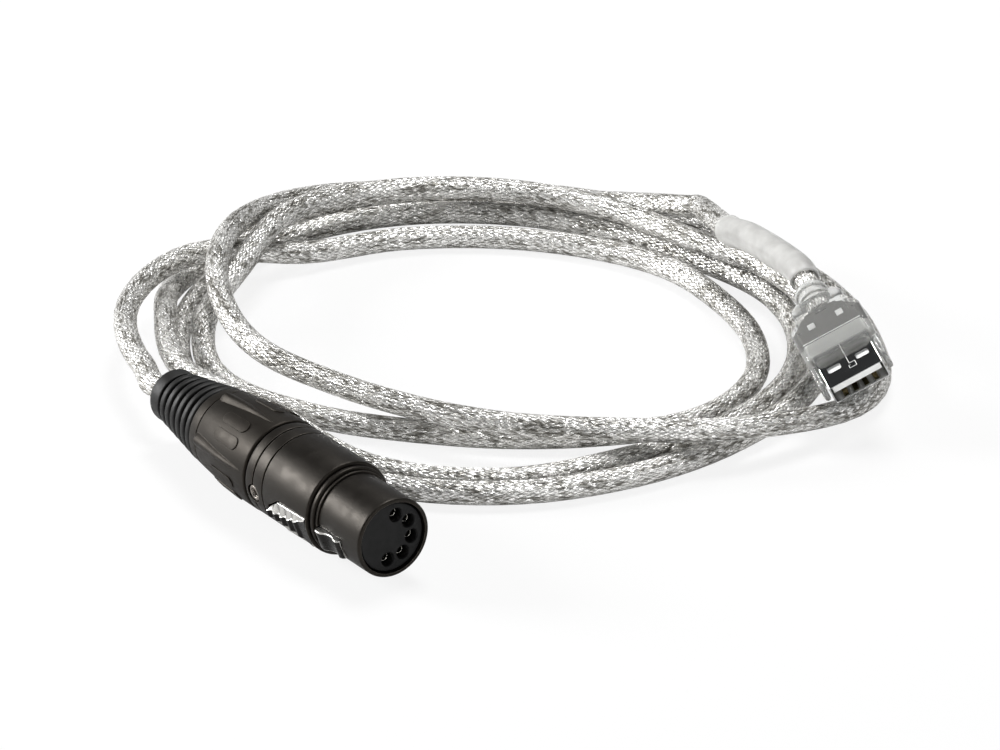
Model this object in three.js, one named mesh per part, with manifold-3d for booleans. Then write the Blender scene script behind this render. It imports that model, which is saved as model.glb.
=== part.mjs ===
// DMX interface cable: a five-contact round connector with its converter board
// inside, nearly two metres of clear-jacketed cable in loose loops, and a clear
// moulded USB plug. Millimetres, +Z up, +X along the connector to its mating face.
import * as THREE from 'three';
import { mergeVertices } from 'three/addons/utils/BufferGeometryUtils.js';
import Module from 'manifold-3d';

const wasm = await Module();
wasm.setup();

// Shared clearances and counts
const fit = 0.3;
const overrun = 1.5;
const weld = 1e-4;
const roundSides = 36;
const innerSides = 24;
const smallSides = 16;
const arcSteps = 5;

// Cable
const cable = { diameter: 4.8, jacketSides: 10, coilSides: 6, loopSteps: 24 };
const cableRadius = cable.diameter / 2;

// Metal shell and its nose
const shell = {
  radius: 9.5,
  length: 21.3,
  wall: 1.8,
  firstRingDrop: 0.6,
  firstRingLength: 1.3,
  secondRingStep: 0.4,
  secondRingLength: 0.8,
  noseRadius: 8,
  noseWall: 0.8,
  noseLength: 13.3,
  rimChamfer: 0.45,
  grooveAt: [2.5, 5.8],
  grooveWidth: 0.45,
  grooveDepth: 0.35,
  edge: 0.3
};

// Rubber boot at the connector's tail
const boot = {
  ringLength: 3.5,
  ringRadius: 5.5,
  ribs: 6,
  ribPitch: 2.5,
  ribStartRadius: 5.9,
  ribsBelowCollar: 0.1,
  grooveDepth: 0.8,
  grooveWidth: 0.7,
  spigotRadius: 6.2,
  spigotLength: 3.4,
  edge: 0.4
};
const bootEnd = boot.ringLength + boot.ribs * boot.ribPitch;
const bootSeat = boot.spigotRadius + fit;

// Back nut with its finger scoops and grip pads
const nut = {
  length: 21.8,
  collarLength: 2.9,
  collarWall: 1.6,
  collarFlare: 0.4,
  shoulderAt: 11.6,
  shoulderDrop: 0.15,
  frontAt: 15.6,
  proud: 0.1,
  scoops: 5,
  scoopRadius: 6,
  scoopDepth: 1.3,
  scoopReach: 17,
  scoopStart: 3.2,
  panelAngle: 22,
  padLength: 7.6,
  padWidth: 2.6,
  padSpacing: 3.75,
  padAt: 13.5,
  padRise: 0.2,
  seatDepth: 7.9,
  seatWall: 0.8
};
const nutStart = bootEnd + fit;
const nutEnd = nutStart + nut.length;
const collarRadius = bootSeat + nut.collarWall;
const collarFrontRadius = collarRadius + nut.collarFlare;
const nutFrontRadius = shell.radius + nut.proud;
const shoulderRadius = nutFrontRadius - nut.shoulderDrop;
const ribEndRadius = collarRadius - boot.ribsBelowCollar;

// Where the shell's steps lie

const shellStart = nutEnd + fit;
const shellBodyEnd = shellStart + shell.length;
const noseStart = shellBodyEnd + shell.firstRingLength + shell.secondRingLength;
const shellEnd = noseStart + shell.noseLength;
const shellBore = shell.radius - shell.wall;
const noseBore = shell.noseRadius - shell.noseWall;
const firstRingRadius = shell.radius - shell.firstRingDrop;
const secondRingRadius = shell.noseRadius + shell.secondRingStep;
const nutSeatRadius = nutFrontRadius - nut.seatWall;
const spigotRadius = nutSeatRadius - fit;
const nutSeatStart = nutEnd - nut.seatDepth;

// Cable clamp inside the nut, and the cable's inner end
const chuck = { length: 9.7, wall: 3.5, slots: 4, slotWidth: 1, slotLength: 6.5 };
const cableBore = cableRadius + fit;
const chuckRadius = cableBore + chuck.wall;
const chuckStart = nutStart + boot.spigotLength + 2 * fit;
const innerCable = { pastChuckStart: 6.7 };
const innerCableEnd = chuckStart + innerCable.pastChuckStart;
const chuckEnd = chuckStart + chuck.length;

// Contact insert in the nose
const insert = {
  faceRecess: 0.5,
  backFromBody: 0.6,
  contacts: 5,
  circleInset: 2.4,
  spacing: 45,
  middleAngle: -123,
  shelfLength: 4.3,
  shelfThickness: 1,
  shelfHalfWidth: 1.7
};
const contact = { radius: 1, recess: 1, tail: 5, bore: 0.65, boreDepth: 8, cupDepth: 2.5 };
const insertStart = shellBodyEnd + insert.backFromBody;
const insertEnd = shellEnd - insert.faceRecess;
const insertRadius = noseBore - fit;
const contactCircle = insertRadius - insert.circleInset;

// Latch: a sprung lever on a pin, with a thumb pad and a hook
const latch = {
  roll: 111,
  pinAt: 6.3,
  pinDrop: 0.6,
  pinRadius: 0.5,
  pinSeat: 0.6,
  eyeRadius: 1.2,
  plateThickness: 0.8,
  armHalfWidth: 2.25,
  padHalfWidth: 3.5,
  padRearProud: 0.8,
  padFrontProud: 0.1,
  padSunk: 0.4,
  teeth: 5,
  toothDepth: 0.55,
  slotStart: 7.8,
  slotFrontLand: 0.3,
  padFrontGap: 0.4,
  noseSlotStart: 1.7,
  noseSlotLength: 8,
  hookLength: 7,
  hookProud: 0.3,
  travelRoom: 1
};
const pinX = shellStart + latch.pinAt;
const slotStart = shellStart + latch.slotStart;
const slotEnd = shellBodyEnd - latch.slotFrontLand;
const padStart = slotStart + fit;
const padEnd = slotEnd - latch.padFrontGap;
const noseSlotStart = shellBodyEnd + latch.noseSlotStart;
const noseSlotEnd = noseSlotStart + latch.noseSlotLength;
const eyeTop = Math.sqrt((shellBore - fit) ** 2 - latch.armHalfWidth ** 2);
const noseTop = Math.sqrt((noseBore - fit) ** 2 - latch.armHalfWidth ** 2);
const pinHeight = Math.min(eyeTop - latch.eyeRadius, noseTop - latch.pinDrop);
const pinHalfLength = Math.sqrt(shellBore ** 2 - pinHeight ** 2) + latch.pinSeat;
const plateHigh = pinHeight + latch.pinDrop;
const plateLow = plateHigh - latch.plateThickness;
const channelFloor = plateLow - latch.travelRoom;
const padRearHeight = shell.radius + latch.padRearProud;
const padFrontHeight = shell.radius + latch.padFrontProud;
const hookHeight = shell.noseRadius + latch.hookProud;
const leaf = { thickness: 0.3, rise: 0.2, halfWidth: 1.6, rear: 3.3 };

// Insert lock screw
const screw = { at: 2.8, angle: 79, radius: 1.6, sunk: 0.25, recessRadius: 0.75, recessDepth: 0.7 };

// Converter board, its cradle and what it carries
const cradle = { frontGap: 2.3, latchGap: 1, wall: 1.4, openAbove: 1, startBack: 1.9 };
const cradleOuter = shellBore - fit;
const cradleInner = cradleOuter - cradle.wall;
const board = { thickness: 1.2, height: -2.1, endGap: 0.6, tailGap: 2.9 };
const boardHalfWidth = Math.sqrt((cradleInner - fit) ** 2 - board.height ** 2);
const cradleStart = shellStart - cradle.startBack;
const cradleEnd = insertStart - cradle.frontGap;
const contactBack = insertStart - contact.tail;
const boardEnd = contactBack - board.endGap;
const boardStart = chuckEnd + board.tailGap;
const boardLength = boardEnd - boardStart;
const boardTop = board.height + board.thickness;
const bridgeChip = { alongShare: 0.42, length: 5, width: 4.4, height: 0.9 };
const driverChip = { alongShare: 0.82, length: 4.9, width: 3.9, height: 1.1 };
const crystal = { alongShare: 0.175, length: 3.2, width: 2.5, height: 0.8, edgeGap: 1.05 };
const capacitor = { alongShares: [0.125, 0.62], radius: 1.1, height: 2, edgeGap: 0.6 };
const crystalSide = crystal.width / 2 + crystal.edgeGap - boardHalfWidth;
const capacitorSide = boardHalfWidth - capacitor.radius - capacitor.edgeGap;
const wire = { count: 4, radius: 0.5, circle: 1.3, firstAngle: 45 };

// USB plug, measured back from its open front
const usb = {
  width: 12,
  height: 4.5,
  wall: 0.3,
  corner: 0.45,
  length: 12.5,
  windowWidth: 2.8,
  windowLength: 1.6,
  windowOffset: 3.1,
  windowAt: 4.6
};
const tongue = {
  sideGap: 0.4,
  under: -0.1,
  front: 0.8,
  blockStart: 8.8,
  contacts: 4,
  contactWidth: 1,
  contactSpacing: 2.2,
  contactThickness: 0.3,
  grooveDepth: 0.45,
  contactStart: 1.8,
  contactLength: 6.4
};
const can = {
  wall: 0.3,
  start: 9.6,
  straightLength: 10.2,
  taperLength: 2.1,
  rearWidth: 9,
  rearHeight: 4.6,
  corner: 0.6
};
const mould = {
  sideWall: 1,
  topWall: 1.2,
  corner: 1.3,
  beforeCan: 0.6,
  chamfer: 0.6,
  pastTaperStart: 0.9,
  shoulder: 0.8,
  blockSideWall: 1.1,
  blockTopWall: 1.4,
  blockLength: 5.3,
  blockRound: 1.2,
  neckWall: 0.3,
  neckLength: 5,
  flangeRise: 0.5,
  flangeThickness: 0.9,
  flangePastBlock: [0.9, 3.3],
  armFront: 1.5,
  armWidth: 1.3,
  cableGap: 0.7
};
const canInnerWidth = usb.width + 2 * fit;
const canInnerHeight = usb.height + 2 * fit;
const canWidth = canInnerWidth + 2 * can.wall;
const canHeight = canInnerHeight + 2 * can.wall;
const canTaperStart = can.start + can.straightLength;
const canEnd = canTaperStart + can.taperLength;
const mouldWidth = canWidth + 2 * mould.sideWall;
const mouldHeight = canHeight + 2 * mould.topWall;
const mouldStart = can.start - mould.beforeCan;
const thickEnd = canTaperStart + mould.pastTaperStart;
const blockWidth = can.rearWidth + 2 * mould.blockSideWall;
const blockHeight = can.rearHeight + 2 * mould.blockTopWall;
const blockEnd = thickEnd + mould.blockLength;
const neckRadius = cableBore + mould.neckWall;
const flangeRadius = neckRadius + mould.flangeRise;
const mouldEnd = blockEnd + mould.neckLength;
const plugCableStart = canEnd + mould.cableGap;

// Frosted sleeve behind the plug
const sleeve = { diameter: 6.2, stub: 8, sides: 12, steps: 14 };

// Where the loops and the plug lie, seen from above, and the cord's chosen route
const field = { offset: [12.71, 69.8], turn: 55 };
const coil = {
  centre: [0, 12],
  startAngle: 202.5,
  stations: 16,
  layerRise: 5.3,
  reach: [
    76.4,
    75.3, 68.79, 57.86, 54.36, 51.29, 49.71, 49.4, 49.02, 51.47, 54.43, 54.34, 49.36, 46.02, 46.51, 52.47, 60.08,
    59.93, 57.53, 62.06, 64.02, 63.15, 58.83, 55.75, 60.29, 65.33, 67.25, 66.69, 68.39, 71.18, 71.61, 68.41, 65.65,
    65.31, 65.91, 67.44, 66.16, 63.14, 59.59, 57.51, 59.86, 60.65, 60.96, 60.47, 61.5, 65.4, 66.4, 63.27, 68.24,
    67.83, 71.85, 73.76, 76.66, 75.2, 72.31, 69.68, 71.8, 75.11, 79.15, 71.76, 60.12, 51.5, 46.44, 46.87, 52.35,
    56.52, 61.86, 68.84, 71.64, 68.07, 65.06, 58.6
  ],
  layerShares: [
    1.4,
    1.503, 1.366, 0.226, 0.032, 0, 0.011, 0.056, 0.016, 0.001, 0, 0.007, 0.059, 0.01, 0.003, 0.099, 0.297,
    0.674, 1.291, 1.722, 1.393, 1.123, 1.039, 0.961, 1.011, 0.75, 0.341, 0.076, 0, 0.016, 0.06, 0.046, 0,
    0.003, 0, 0.066, 0.101, 0.074, 0.033, 0, 0, 0, 0.001, 0.023, 0.039, 0.013, 0.229, 0.909, 1.027,
    1.08, 0.116, 0, 0.046, 0.006, 0.04, 0.005, 0.008, 0.011, 0.226, 0.876, 1.157, 1.07, 1, 1.111, 1.397,
    1.79, 2.109, 1.551, 0.766, 0.205, 0.795, 2
  ],
  fineSteps: 4,
  neighbourShare: 0.5
};
const endStub = 2.6;
const leadSteps = 4;
const tailPoints = [[44.6, 45, 14.9]];
const tailEnd = [47, 36, 16.4];
const tailSteps = 4;
const sleevePoints = [[51.8, 25.5, 18.6]];
const plugFront = [70.62, -29.89, 12.4];
const plugForwardShares = [0.276, -0.939, -0.206];
const plugUpShares = [-0.397, -0.288, 0.871];

// Colours and surfaces
function finish(color, roughness, metalness, more = {}) {
  return new THREE.MeshStandardMaterial({ color, roughness, metalness, ...more });
}
const satinBlackMetal = finish(0x2b2622, 0.42, 0.75);
const blackPolymer = finish(0x1d1b1a, 0.55, 0);
const blackRubber = finish(0x171615, 0.75, 0);
const insertPlastic = finish(0x121212, 0.6, 0);
const latchMetal = finish(0xb9b4ab, 0.3, 0.9);
const contactMetal = finish(0xc9c2b0, 0.28, 1);
const springSteel = finish(0x8f8f8c, 0.35, 0.9);
const braidedCable = finish(0xa9a9a6, 0.35, 0.45);
const clampPlastic = finish(0x2c2c2c, 0.6, 0);
const boardGreen = finish(0x1f5a36, 0.5, 0);
const chipBlack = finish(0x161616, 0.55, 0);
const canSilver = finish(0xb4b4b2, 0.3, 0.9);
const wireRed = finish(0xa02a24, 0.5, 0);
const wireWhite = finish(0xd8d8d4, 0.5, 0);
const wireGreen = finish(0x2a7a3c, 0.5, 0);
const wireBlack = finish(0x1a1a1a, 0.5, 0);
const plugSteel = finish(0x8d8d8f, 0.22, 1);
const tonguePlastic = finish(0xe9e8e2, 0.5, 0);
const darkCan = finish(0x4c4b49, 0.35, 0.85);
const clearMould = finish(0xdfe3e2, 0.12, 0, { transparent: true, opacity: 0.35 });
const frosted = finish(0xb9b8b4, 0.5, 0);

// Solids
const radians = THREE.MathUtils.degToRad;

function closed(geometry) {
  const plain = geometry.clone();
  plain.deleteAttribute('normal');
  plain.deleteAttribute('uv');
  const merged = mergeVertices(plain, weld);
  const places = merged.attributes.position;
  const index = merged.index.array;
  const corners = [];
  const a = new THREE.Vector3();
  const b = new THREE.Vector3();
  const c = new THREE.Vector3();
  let volume = 0;
  for (let i = 0; i < index.length; i += 3) {
    const [p, q, r] = [index[i], index[i + 1], index[i + 2]];
    if (p === q || q === r || r === p) continue;
    corners.push(p, q, r);
    a.fromBufferAttribute(places, p);
    b.fromBufferAttribute(places, q);
    c.fromBufferAttribute(places, r);
    volume += a.dot(b.cross(c));
  }
  if (volume < 0) corners.reverse();
  const result = new THREE.BufferGeometry();
  result.setAttribute('position', new THREE.BufferAttribute(new Float32Array(places.array), 3));
  result.setIndex(corners);
  return result;
}

function solid(geometry) {
  const whole = closed(geometry);
  return new wasm.Manifold(new wasm.Mesh({
    numProp: 3,
    vertProperties: whole.attributes.position.array,
    triVerts: new Uint32Array(whole.index.array)
  }));
}

function fromSolid(body) {
  const mesh = body.getMesh();
  const geometry = new THREE.BufferGeometry();
  geometry.setAttribute('position', new THREE.BufferAttribute(new Float32Array(mesh.vertProperties), 3));
  geometry.setIndex(new THREE.BufferAttribute(new Uint32Array(mesh.triVerts), 1));
  return geometry;
}

function cut(geometry, ...tools) {
  let body = solid(geometry);
  for (const tool of tools) body = body.subtract(solid(tool));
  return fromSolid(body);
}

function join(geometry, ...others) {
  let body = solid(geometry);
  for (const other of others) body = body.add(solid(other));
  return fromSolid(body);
}

function piece(name, geometry, material) {
  const whole = closed(geometry);
  whole.computeVertexNormals();
  const mesh = new THREE.Mesh(whole, material);
  mesh.name = name;
  return mesh;
}

// A profile of [x, radius] pairs turned about the X axis
function turned(profile, sides) {
  const geometry = new THREE.LatheGeometry(profile.map(([x, r]) => new THREE.Vector2(r, x)), sides);
  geometry.rotateZ(-Math.PI / 2);
  return geometry;
}

function rod(radius, from, to, sides, y = 0, z = 0) {
  const geometry = turned([[from, 0], [from, radius], [to, radius], [to, 0]], sides);
  geometry.translate(0, y, z);
  return geometry;
}

function pipe(outer, inner, from, to, sides) {
  return turned([[from, inner], [from, outer], [to, outer], [to, inner], [from, inner]], sides);
}

function block(x0, x1, y0, y1, z0, z1) {
  const geometry = new THREE.BoxGeometry(x1 - x0, y1 - y0, z1 - z0);
  geometry.translate((x0 + x1) / 2, (y0 + y1) / 2, (z0 + z1) / 2);
  return geometry;
}

// An outline in X and Z, as wide as twice the half width across Y
function across(outline, halfWidth) {
  const shape = new THREE.Shape(outline.map(([x, z]) => new THREE.Vector2(x, z)));
  const geometry = new THREE.ExtrudeGeometry(shape, { depth: 2 * halfWidth, bevelEnabled: false });
  geometry.rotateX(Math.PI / 2);
  geometry.translate(0, halfWidth, 0);
  return geometry;
}

function crossPin(radius, halfLength, x, z, sides) {
  const geometry = new THREE.CylinderGeometry(radius, radius, 2 * halfLength, sides);
  geometry.translate(x, 0, z);
  return geometry;
}

function radialPin(radius, inner, outer, x, angle, sides) {
  const geometry = new THREE.CylinderGeometry(radius, radius, outer - inner, sides);
  geometry.translate(x, (inner + outer) / 2, 0);
  geometry.rotateX(radians(angle));
  return geometry;
}

// Rings of equal count joined into one closed skin
function skin(rings) {
  const count = rings[0].length;
  const places = rings.flatMap((ring) => ring.flatMap((p) => [p.x, p.y, p.z]));
  const corners = [];
  for (let i = 0; i + 1 < rings.length; i += 1) {
    for (let j = 0; j < count; j += 1) {
      const a = i * count + j;
      const b = i * count + (j + 1) % count;
      corners.push(a, b, b + count, a, b + count, a + count);
    }
  }
  const last = (rings.length - 1) * count;
  for (let j = 1; j + 1 < count; j += 1) {
    corners.push(0, j + 1, j, last, last + j, last + j + 1);
  }
  const geometry = new THREE.BufferGeometry();
  geometry.setAttribute('position', new THREE.Float32BufferAttribute(places, 3));
  geometry.setIndex(corners);
  return geometry;
}

// A rounded rectangle square to X
function softRing(x, width, height, corner) {
  const ring = [];
  const centres = [[1, 1], [-1, 1], [-1, -1], [1, -1]];
  centres.forEach(([sy, sz], quarter) => {
    for (let i = 0; i <= arcSteps; i += 1) {
      const angle = (quarter + i / arcSteps) * Math.PI / 2;
      const y = sy * (width / 2 - corner) + corner * Math.cos(angle);
      const z = sz * (height / 2 - corner) + corner * Math.sin(angle);
      ring.push(new THREE.Vector3(x, y, z));
    }
  });
  return ring;
}

function softBar(from, to, width, height, corner) {
  return skin([softRing(from, width, height, corner), softRing(to, width, height, corner)]);
}

// Boot: tail ring, ribs growing towards the nut, and a spigot into the nut
function makeBoot() {
  const profile = [[0, cableBore], [0, boot.ringRadius - boot.edge], [boot.edge, boot.ringRadius]];
  const grow = (ribEndRadius - boot.ribStartRadius) / (boot.ribs - 1);
  for (let i = 0; i < boot.ribs; i += 1) {
    const from = boot.ringLength + i * boot.ribPitch;
    const crest = boot.ribStartRadius + i * grow;
    const root = crest - boot.grooveDepth;
    profile.push([from, root]);
    profile.push([from + boot.grooveWidth, root]);
    profile.push([from + boot.grooveWidth, crest - boot.edge / 2]);
    profile.push([from + boot.grooveWidth + boot.edge, crest]);
    profile.push([from + boot.ribPitch, crest]);
  }
  const spigotEnd = nutStart + boot.spigotLength;
  profile.push([bootEnd, boot.spigotRadius], [spigotEnd, boot.spigotRadius]);
  profile.push([spigotEnd, cableBore], [0, cableBore]);
  return turned(profile, roundSides);
}

function makeNut() {
  const clampSeat = chuckRadius + fit;
  const clampSeatStart = nutStart + boot.spigotLength + fit;
  const collarEnd = nutStart + nut.collarLength;
  let body = solid(turned([
    [nutStart, bootSeat],
    [nutStart, collarRadius],
    [collarEnd, collarFrontRadius],
    [nutStart + nut.shoulderAt, shoulderRadius],
    [nutStart + nut.frontAt, nutFrontRadius],
    [nutEnd, nutFrontRadius],
    [nutEnd, nutSeatRadius],
    [nutSeatStart, nutSeatRadius],
    [nutSeatStart, clampSeat],
    [clampSeatStart, clampSeat],
    [clampSeatStart, bootSeat],
    [nutStart, bootSeat]
  ], roundSides));
  const step = 360 / nut.scoops;
  const nearDistance = collarFrontRadius - nut.scoopDepth + nut.scoopRadius;
  const farDistance = nutFrontRadius + nut.scoopRadius;
  const lean = Math.atan2(farDistance - nearDistance, nut.scoopReach);
  for (let i = 0; i < nut.scoops; i += 1) {
    const scoop = rod(nut.scoopRadius, 0, nut.scoopReach + overrun, innerSides);
    scoop.rotateY(-lean);
    scoop.translate(nutStart + nut.scoopStart, 0, nearDistance);
    scoop.rotateX(radians(nut.panelAngle + (i + 0.5) * step - 90));
    body = body.subtract(solid(scoop));
  }
  const padShift = nut.padSpacing / 2 / shoulderRadius;
  const straight = (nut.padLength - nut.padWidth) / 2;
  for (let i = 0; i < nut.scoops; i += 1) {
    for (const side of [-1, 1]) {
      const shape = new THREE.Shape();
      shape.absarc(straight, 0, nut.padWidth / 2, -Math.PI / 2, Math.PI / 2, false);
      shape.absarc(-straight, 0, nut.padWidth / 2, Math.PI / 2, Math.PI * 3 / 2, false);
      const depth = shoulderRadius + nut.padRise - clampSeat - 2 * fit;
      const pad = new THREE.ExtrudeGeometry(shape, { depth, bevelEnabled: false, curveSegments: arcSteps });
      pad.translate(nutStart + nut.padAt, 0, clampSeat + 2 * fit);
      pad.rotateX(radians(nut.panelAngle + i * step - 90) + side * padShift);
      const reach = turned([
        [nutStart, 0],
        [nutStart, nutSeatRadius + fit],
        [nutEnd, nutSeatRadius + fit],
        [nutEnd, 0]
      ], roundSides);
      body = body.add(solid(pad).subtract(solid(reach)));
    }
  }
  return fromSolid(body);
}

function makeShell() {
  const profile = [[nutSeatStart + fit, shellBore], [nutSeatStart + fit, spigotRadius]];
  profile.push([shellStart, spigotRadius], [shellStart, shell.radius - shell.edge]);
  profile.push([shellStart + shell.edge, shell.radius]);
  for (const at of shell.grooveAt) {
    profile.push([shellStart + at, shell.radius]);
    profile.push([shellStart + at, shell.radius - shell.grooveDepth]);
    profile.push([shellStart + at + shell.grooveWidth, shell.radius - shell.grooveDepth]);
    profile.push([shellStart + at + shell.grooveWidth, shell.radius]);
  }
  const ringEnd = shellBodyEnd + shell.firstRingLength;
  profile.push([shellBodyEnd - shell.edge, shell.radius], [shellBodyEnd, shell.radius - shell.edge]);
  profile.push([shellBodyEnd, firstRingRadius], [ringEnd, firstRingRadius]);
  profile.push([ringEnd, secondRingRadius], [noseStart, secondRingRadius]);
  profile.push([noseStart, shell.noseRadius], [shellEnd - shell.rimChamfer, shell.noseRadius]);
  profile.push([shellEnd, shell.noseRadius - shell.rimChamfer], [shellEnd, noseBore]);
  profile.push([shellBodyEnd, noseBore], [shellBodyEnd, shellBore]);
  profile.push([nutSeatStart + fit, shellBore]);
  const padSlot = block(slotStart, slotEnd, -latch.padHalfWidth - fit, latch.padHalfWidth + fit,
    channelFloor, shell.radius + overrun);
  const hookSlot = block(noseSlotStart, noseSlotEnd, -latch.armHalfWidth - fit, latch.armHalfWidth + fit,
    channelFloor, shell.radius + overrun);
  const pocket = crossPin(latch.pinRadius + fit, pinHalfLength + fit, pinX, pinHeight, smallSides);
  const screwHole = radialPin(screw.radius + fit, cradleOuter - overrun, shell.radius + overrun,
    shellStart + screw.at, screw.angle, smallSides);
  return cut(turned(profile, roundSides), padSlot, hookSlot, pocket, screwHole);
}

function makeChuck() {
  const end = chuckEnd;
  const slots = [];
  for (let i = 0; i < chuck.slots; i += 1) {
    const slot = block(end - chuck.slotLength, end + overrun, -chuck.slotWidth / 2, chuck.slotWidth / 2,
      0, chuckRadius + overrun);
    slot.rotateX(Math.PI * 2 * i / chuck.slots);
    slots.push(slot);
  }
  return cut(pipe(chuckRadius, cableBore, chuckStart, end, innerSides), ...slots);
}

function contactPlace(i) {
  const angle = radians(insert.middleAngle + (i - (insert.contacts - 1) / 2) * insert.spacing);
  return [contactCircle * Math.cos(angle), contactCircle * Math.sin(angle)];
}

function makeInsert() {
  const shelf = block(insertStart - insert.shelfLength, insertStart + fit, -insert.shelfHalfWidth,
    insert.shelfHalfWidth, channelFloor - insert.shelfThickness, channelFloor);
  const channel = block(insertStart - overrun, noseSlotEnd + fit, -latch.armHalfWidth - fit,
    latch.armHalfWidth + fit, channelFloor, insertRadius + overrun);
  const tools = [channel];
  for (let i = 0; i < insert.contacts; i += 1) {
    const [y, z] = contactPlace(i);
    tools.push(rod(contact.radius + fit, insertStart - insert.shelfLength - overrun, insertEnd + overrun,
      smallSides, y, z));
  }
  return cut(join(rod(insertRadius, insertStart, insertEnd, roundSides), shelf), ...tools);
}

function makeContact(i) {
  const [y, z] = contactPlace(i);
  const front = insertEnd - contact.recess;
  const socket = turned([
    [contactBack, contact.bore],
    [contactBack, contact.radius],
    [front, contact.radius],
    [front, contact.bore],
    [front - contact.boreDepth, contact.bore],
    [front - contact.boreDepth, 0],
    [contactBack + contact.cupDepth, 0],
    [contactBack + contact.cupDepth, contact.bore],
    [contactBack, contact.bore]
  ], smallSides);
  socket.translate(0, y, z);
  return socket;
}

function makeCradle() {
  const end = cradleEnd;
  const opening = block(pinX - latch.eyeRadius - cradle.latchGap, end + overrun, -cradleOuter - overrun,
    cradleOuter + overrun, cradle.openAbove, cradleOuter + overrun);
  const room = [];
  for (let i = 0; i < insert.contacts; i += 1) {
    const [y, z] = contactPlace(i);
    room.push(rod(contact.radius + fit, contactBack - fit, end + overrun, smallSides, y, z));
  }
  return cut(pipe(cradleOuter, cradleInner, cradleStart, end, innerSides), opening, ...room);
}

function makeLever() {
  const tip = noseSlotEnd - fit;
  const plate = across([
    [pinX, plateLow],
    [tip, plateLow],
    [tip, plateHigh],
    [pinX, plateHigh]
  ], latch.armHalfWidth);
  const hookStart = noseSlotStart + fit;
  const hook = across([
    [hookStart, plateLow],
    [hookStart + latch.hookLength, plateLow],
    [hookStart + latch.hookLength, plateHigh + fit],
    [hookStart + latch.hookLength * 0.75, hookHeight],
    [hookStart, hookHeight]
  ], latch.armHalfWidth);
  const padFoot = plateLow + latch.padSunk;
  const outline = [[padStart, padFoot], [padEnd, padFoot], [padEnd, padFrontHeight]];
  const pitch = (padEnd - padStart) / latch.teeth;
  for (let i = 0; i < latch.teeth; i += 1) {
    const share = i / latch.teeth;
    const crest = padFrontHeight + (padRearHeight - padFrontHeight) * share;
    outline.push([padEnd - (i + 0.25) * pitch, crest]);
    outline.push([padEnd - (i + 0.6) * pitch, crest - latch.toothDepth]);
    outline.push([padEnd - (i + 0.85) * pitch, crest]);
  }
  outline.push([padStart, padRearHeight]);
  const pad = across(outline, latch.padHalfWidth);
  const eye = crossPin(latch.eyeRadius, latch.armHalfWidth, pinX, pinHeight, smallSides);
  const hole = crossPin(latch.pinRadius + fit, latch.armHalfWidth + overrun, pinX, pinHeight, smallSides);
  return cut(join(plate, hook, pad, eye), hole);
}

function makeLeaf() {
  const low = channelFloor + fit;
  const front = insertStart - insert.backFromBody - latch.padFrontGap - fit;
  const rear = pinX + leaf.rear;
  return across([
    [rear, low + leaf.rise],
    [front, low],
    [front, low + leaf.thickness],
    [rear, low + leaf.rise + leaf.thickness]
  ], leaf.halfWidth);
}

function makeScrew() {
  const x = shellStart + screw.at;
  const top = shell.radius - screw.sunk;
  return cut(
    radialPin(screw.radius, cradleOuter + fit, top, x, screw.angle, smallSides),
    radialPin(screw.recessRadius, top - screw.recessDepth, top + overrun, x, screw.angle, smallSides / 2)
  );
}

function chipBlock(chip, side) {
  const low = boardTop + fit;
  const middle = boardStart + boardLength * chip.alongShare;
  return block(middle - chip.length / 2, middle + chip.length / 2, side - chip.width / 2,
    side + chip.width / 2, low, low + chip.height);
}

function makeCapacitor(alongShare, side) {
  const low = boardTop + fit;
  const geometry = new THREE.CylinderGeometry(capacitor.radius, capacitor.radius, capacitor.height, smallSides);
  geometry.rotateX(Math.PI / 2);
  geometry.translate(boardStart + boardLength * alongShare, side, low + capacitor.height / 2);
  return geometry;
}

// Connector, standing on the surface, its tail at the origin
const connector = new THREE.Group();
connector.add(
  piece('connector_shell', makeShell(), satinBlackMetal),
  piece('boot_sleeve', makeBoot(), blackRubber),
  piece('boot_nut', makeNut(), blackPolymer),
  piece('strain_relief_chuck', makeChuck(), clampPlastic),
  piece('cable_inner_end', rod(cableRadius, 0, innerCableEnd, innerSides), braidedCable),
  piece('contact_insert', makeInsert(), insertPlastic),
  piece('board_cradle', makeCradle(), clampPlastic),
  piece('circuit_board', block(boardStart, boardEnd, -boardHalfWidth, boardHalfWidth, board.height, boardTop),
    boardGreen),
  piece('usb_bridge_chip', chipBlock(bridgeChip, 0), chipBlack),
  piece('line_driver_chip', chipBlock(driverChip, 0), chipBlack),
  piece('crystal', chipBlock(crystal, crystalSide), canSilver),
  piece('latch_lever', makeLever(), latchMetal),
  piece('latch_pin', crossPin(latch.pinRadius, pinHalfLength, pinX, pinHeight, smallSides), springSteel),
  piece('latch_spring', makeLeaf(), springSteel),
  piece('insert_screw', makeScrew(), springSteel)
);
for (let i = 0; i < insert.contacts; i += 1) {
  connector.add(piece(`contact_${i + 1}`, makeContact(i), contactMetal));
}
capacitor.alongShares.forEach((alongShare, i) => {
  connector.add(piece(`capacitor_${i + 1}`, makeCapacitor(alongShare, capacitorSide), canSilver));
});
[wireRed, wireWhite, wireGreen, wireBlack].forEach((material, i) => {
  const angle = radians(wire.firstAngle) + Math.PI * 2 * i / wire.count;
  const strand = rod(wire.radius, innerCableEnd + fit, boardStart - fit, smallSides / 2,
    wire.circle * Math.cos(angle), wire.circle * Math.sin(angle));
  connector.add(piece(`wire_${i + 1}`, strand, material));
});
connector.rotation.x = radians(latch.roll);
const connectorBox = new THREE.Box3().setFromObject(connector, true);
connector.position.z = -connectorBox.min.z;

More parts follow.
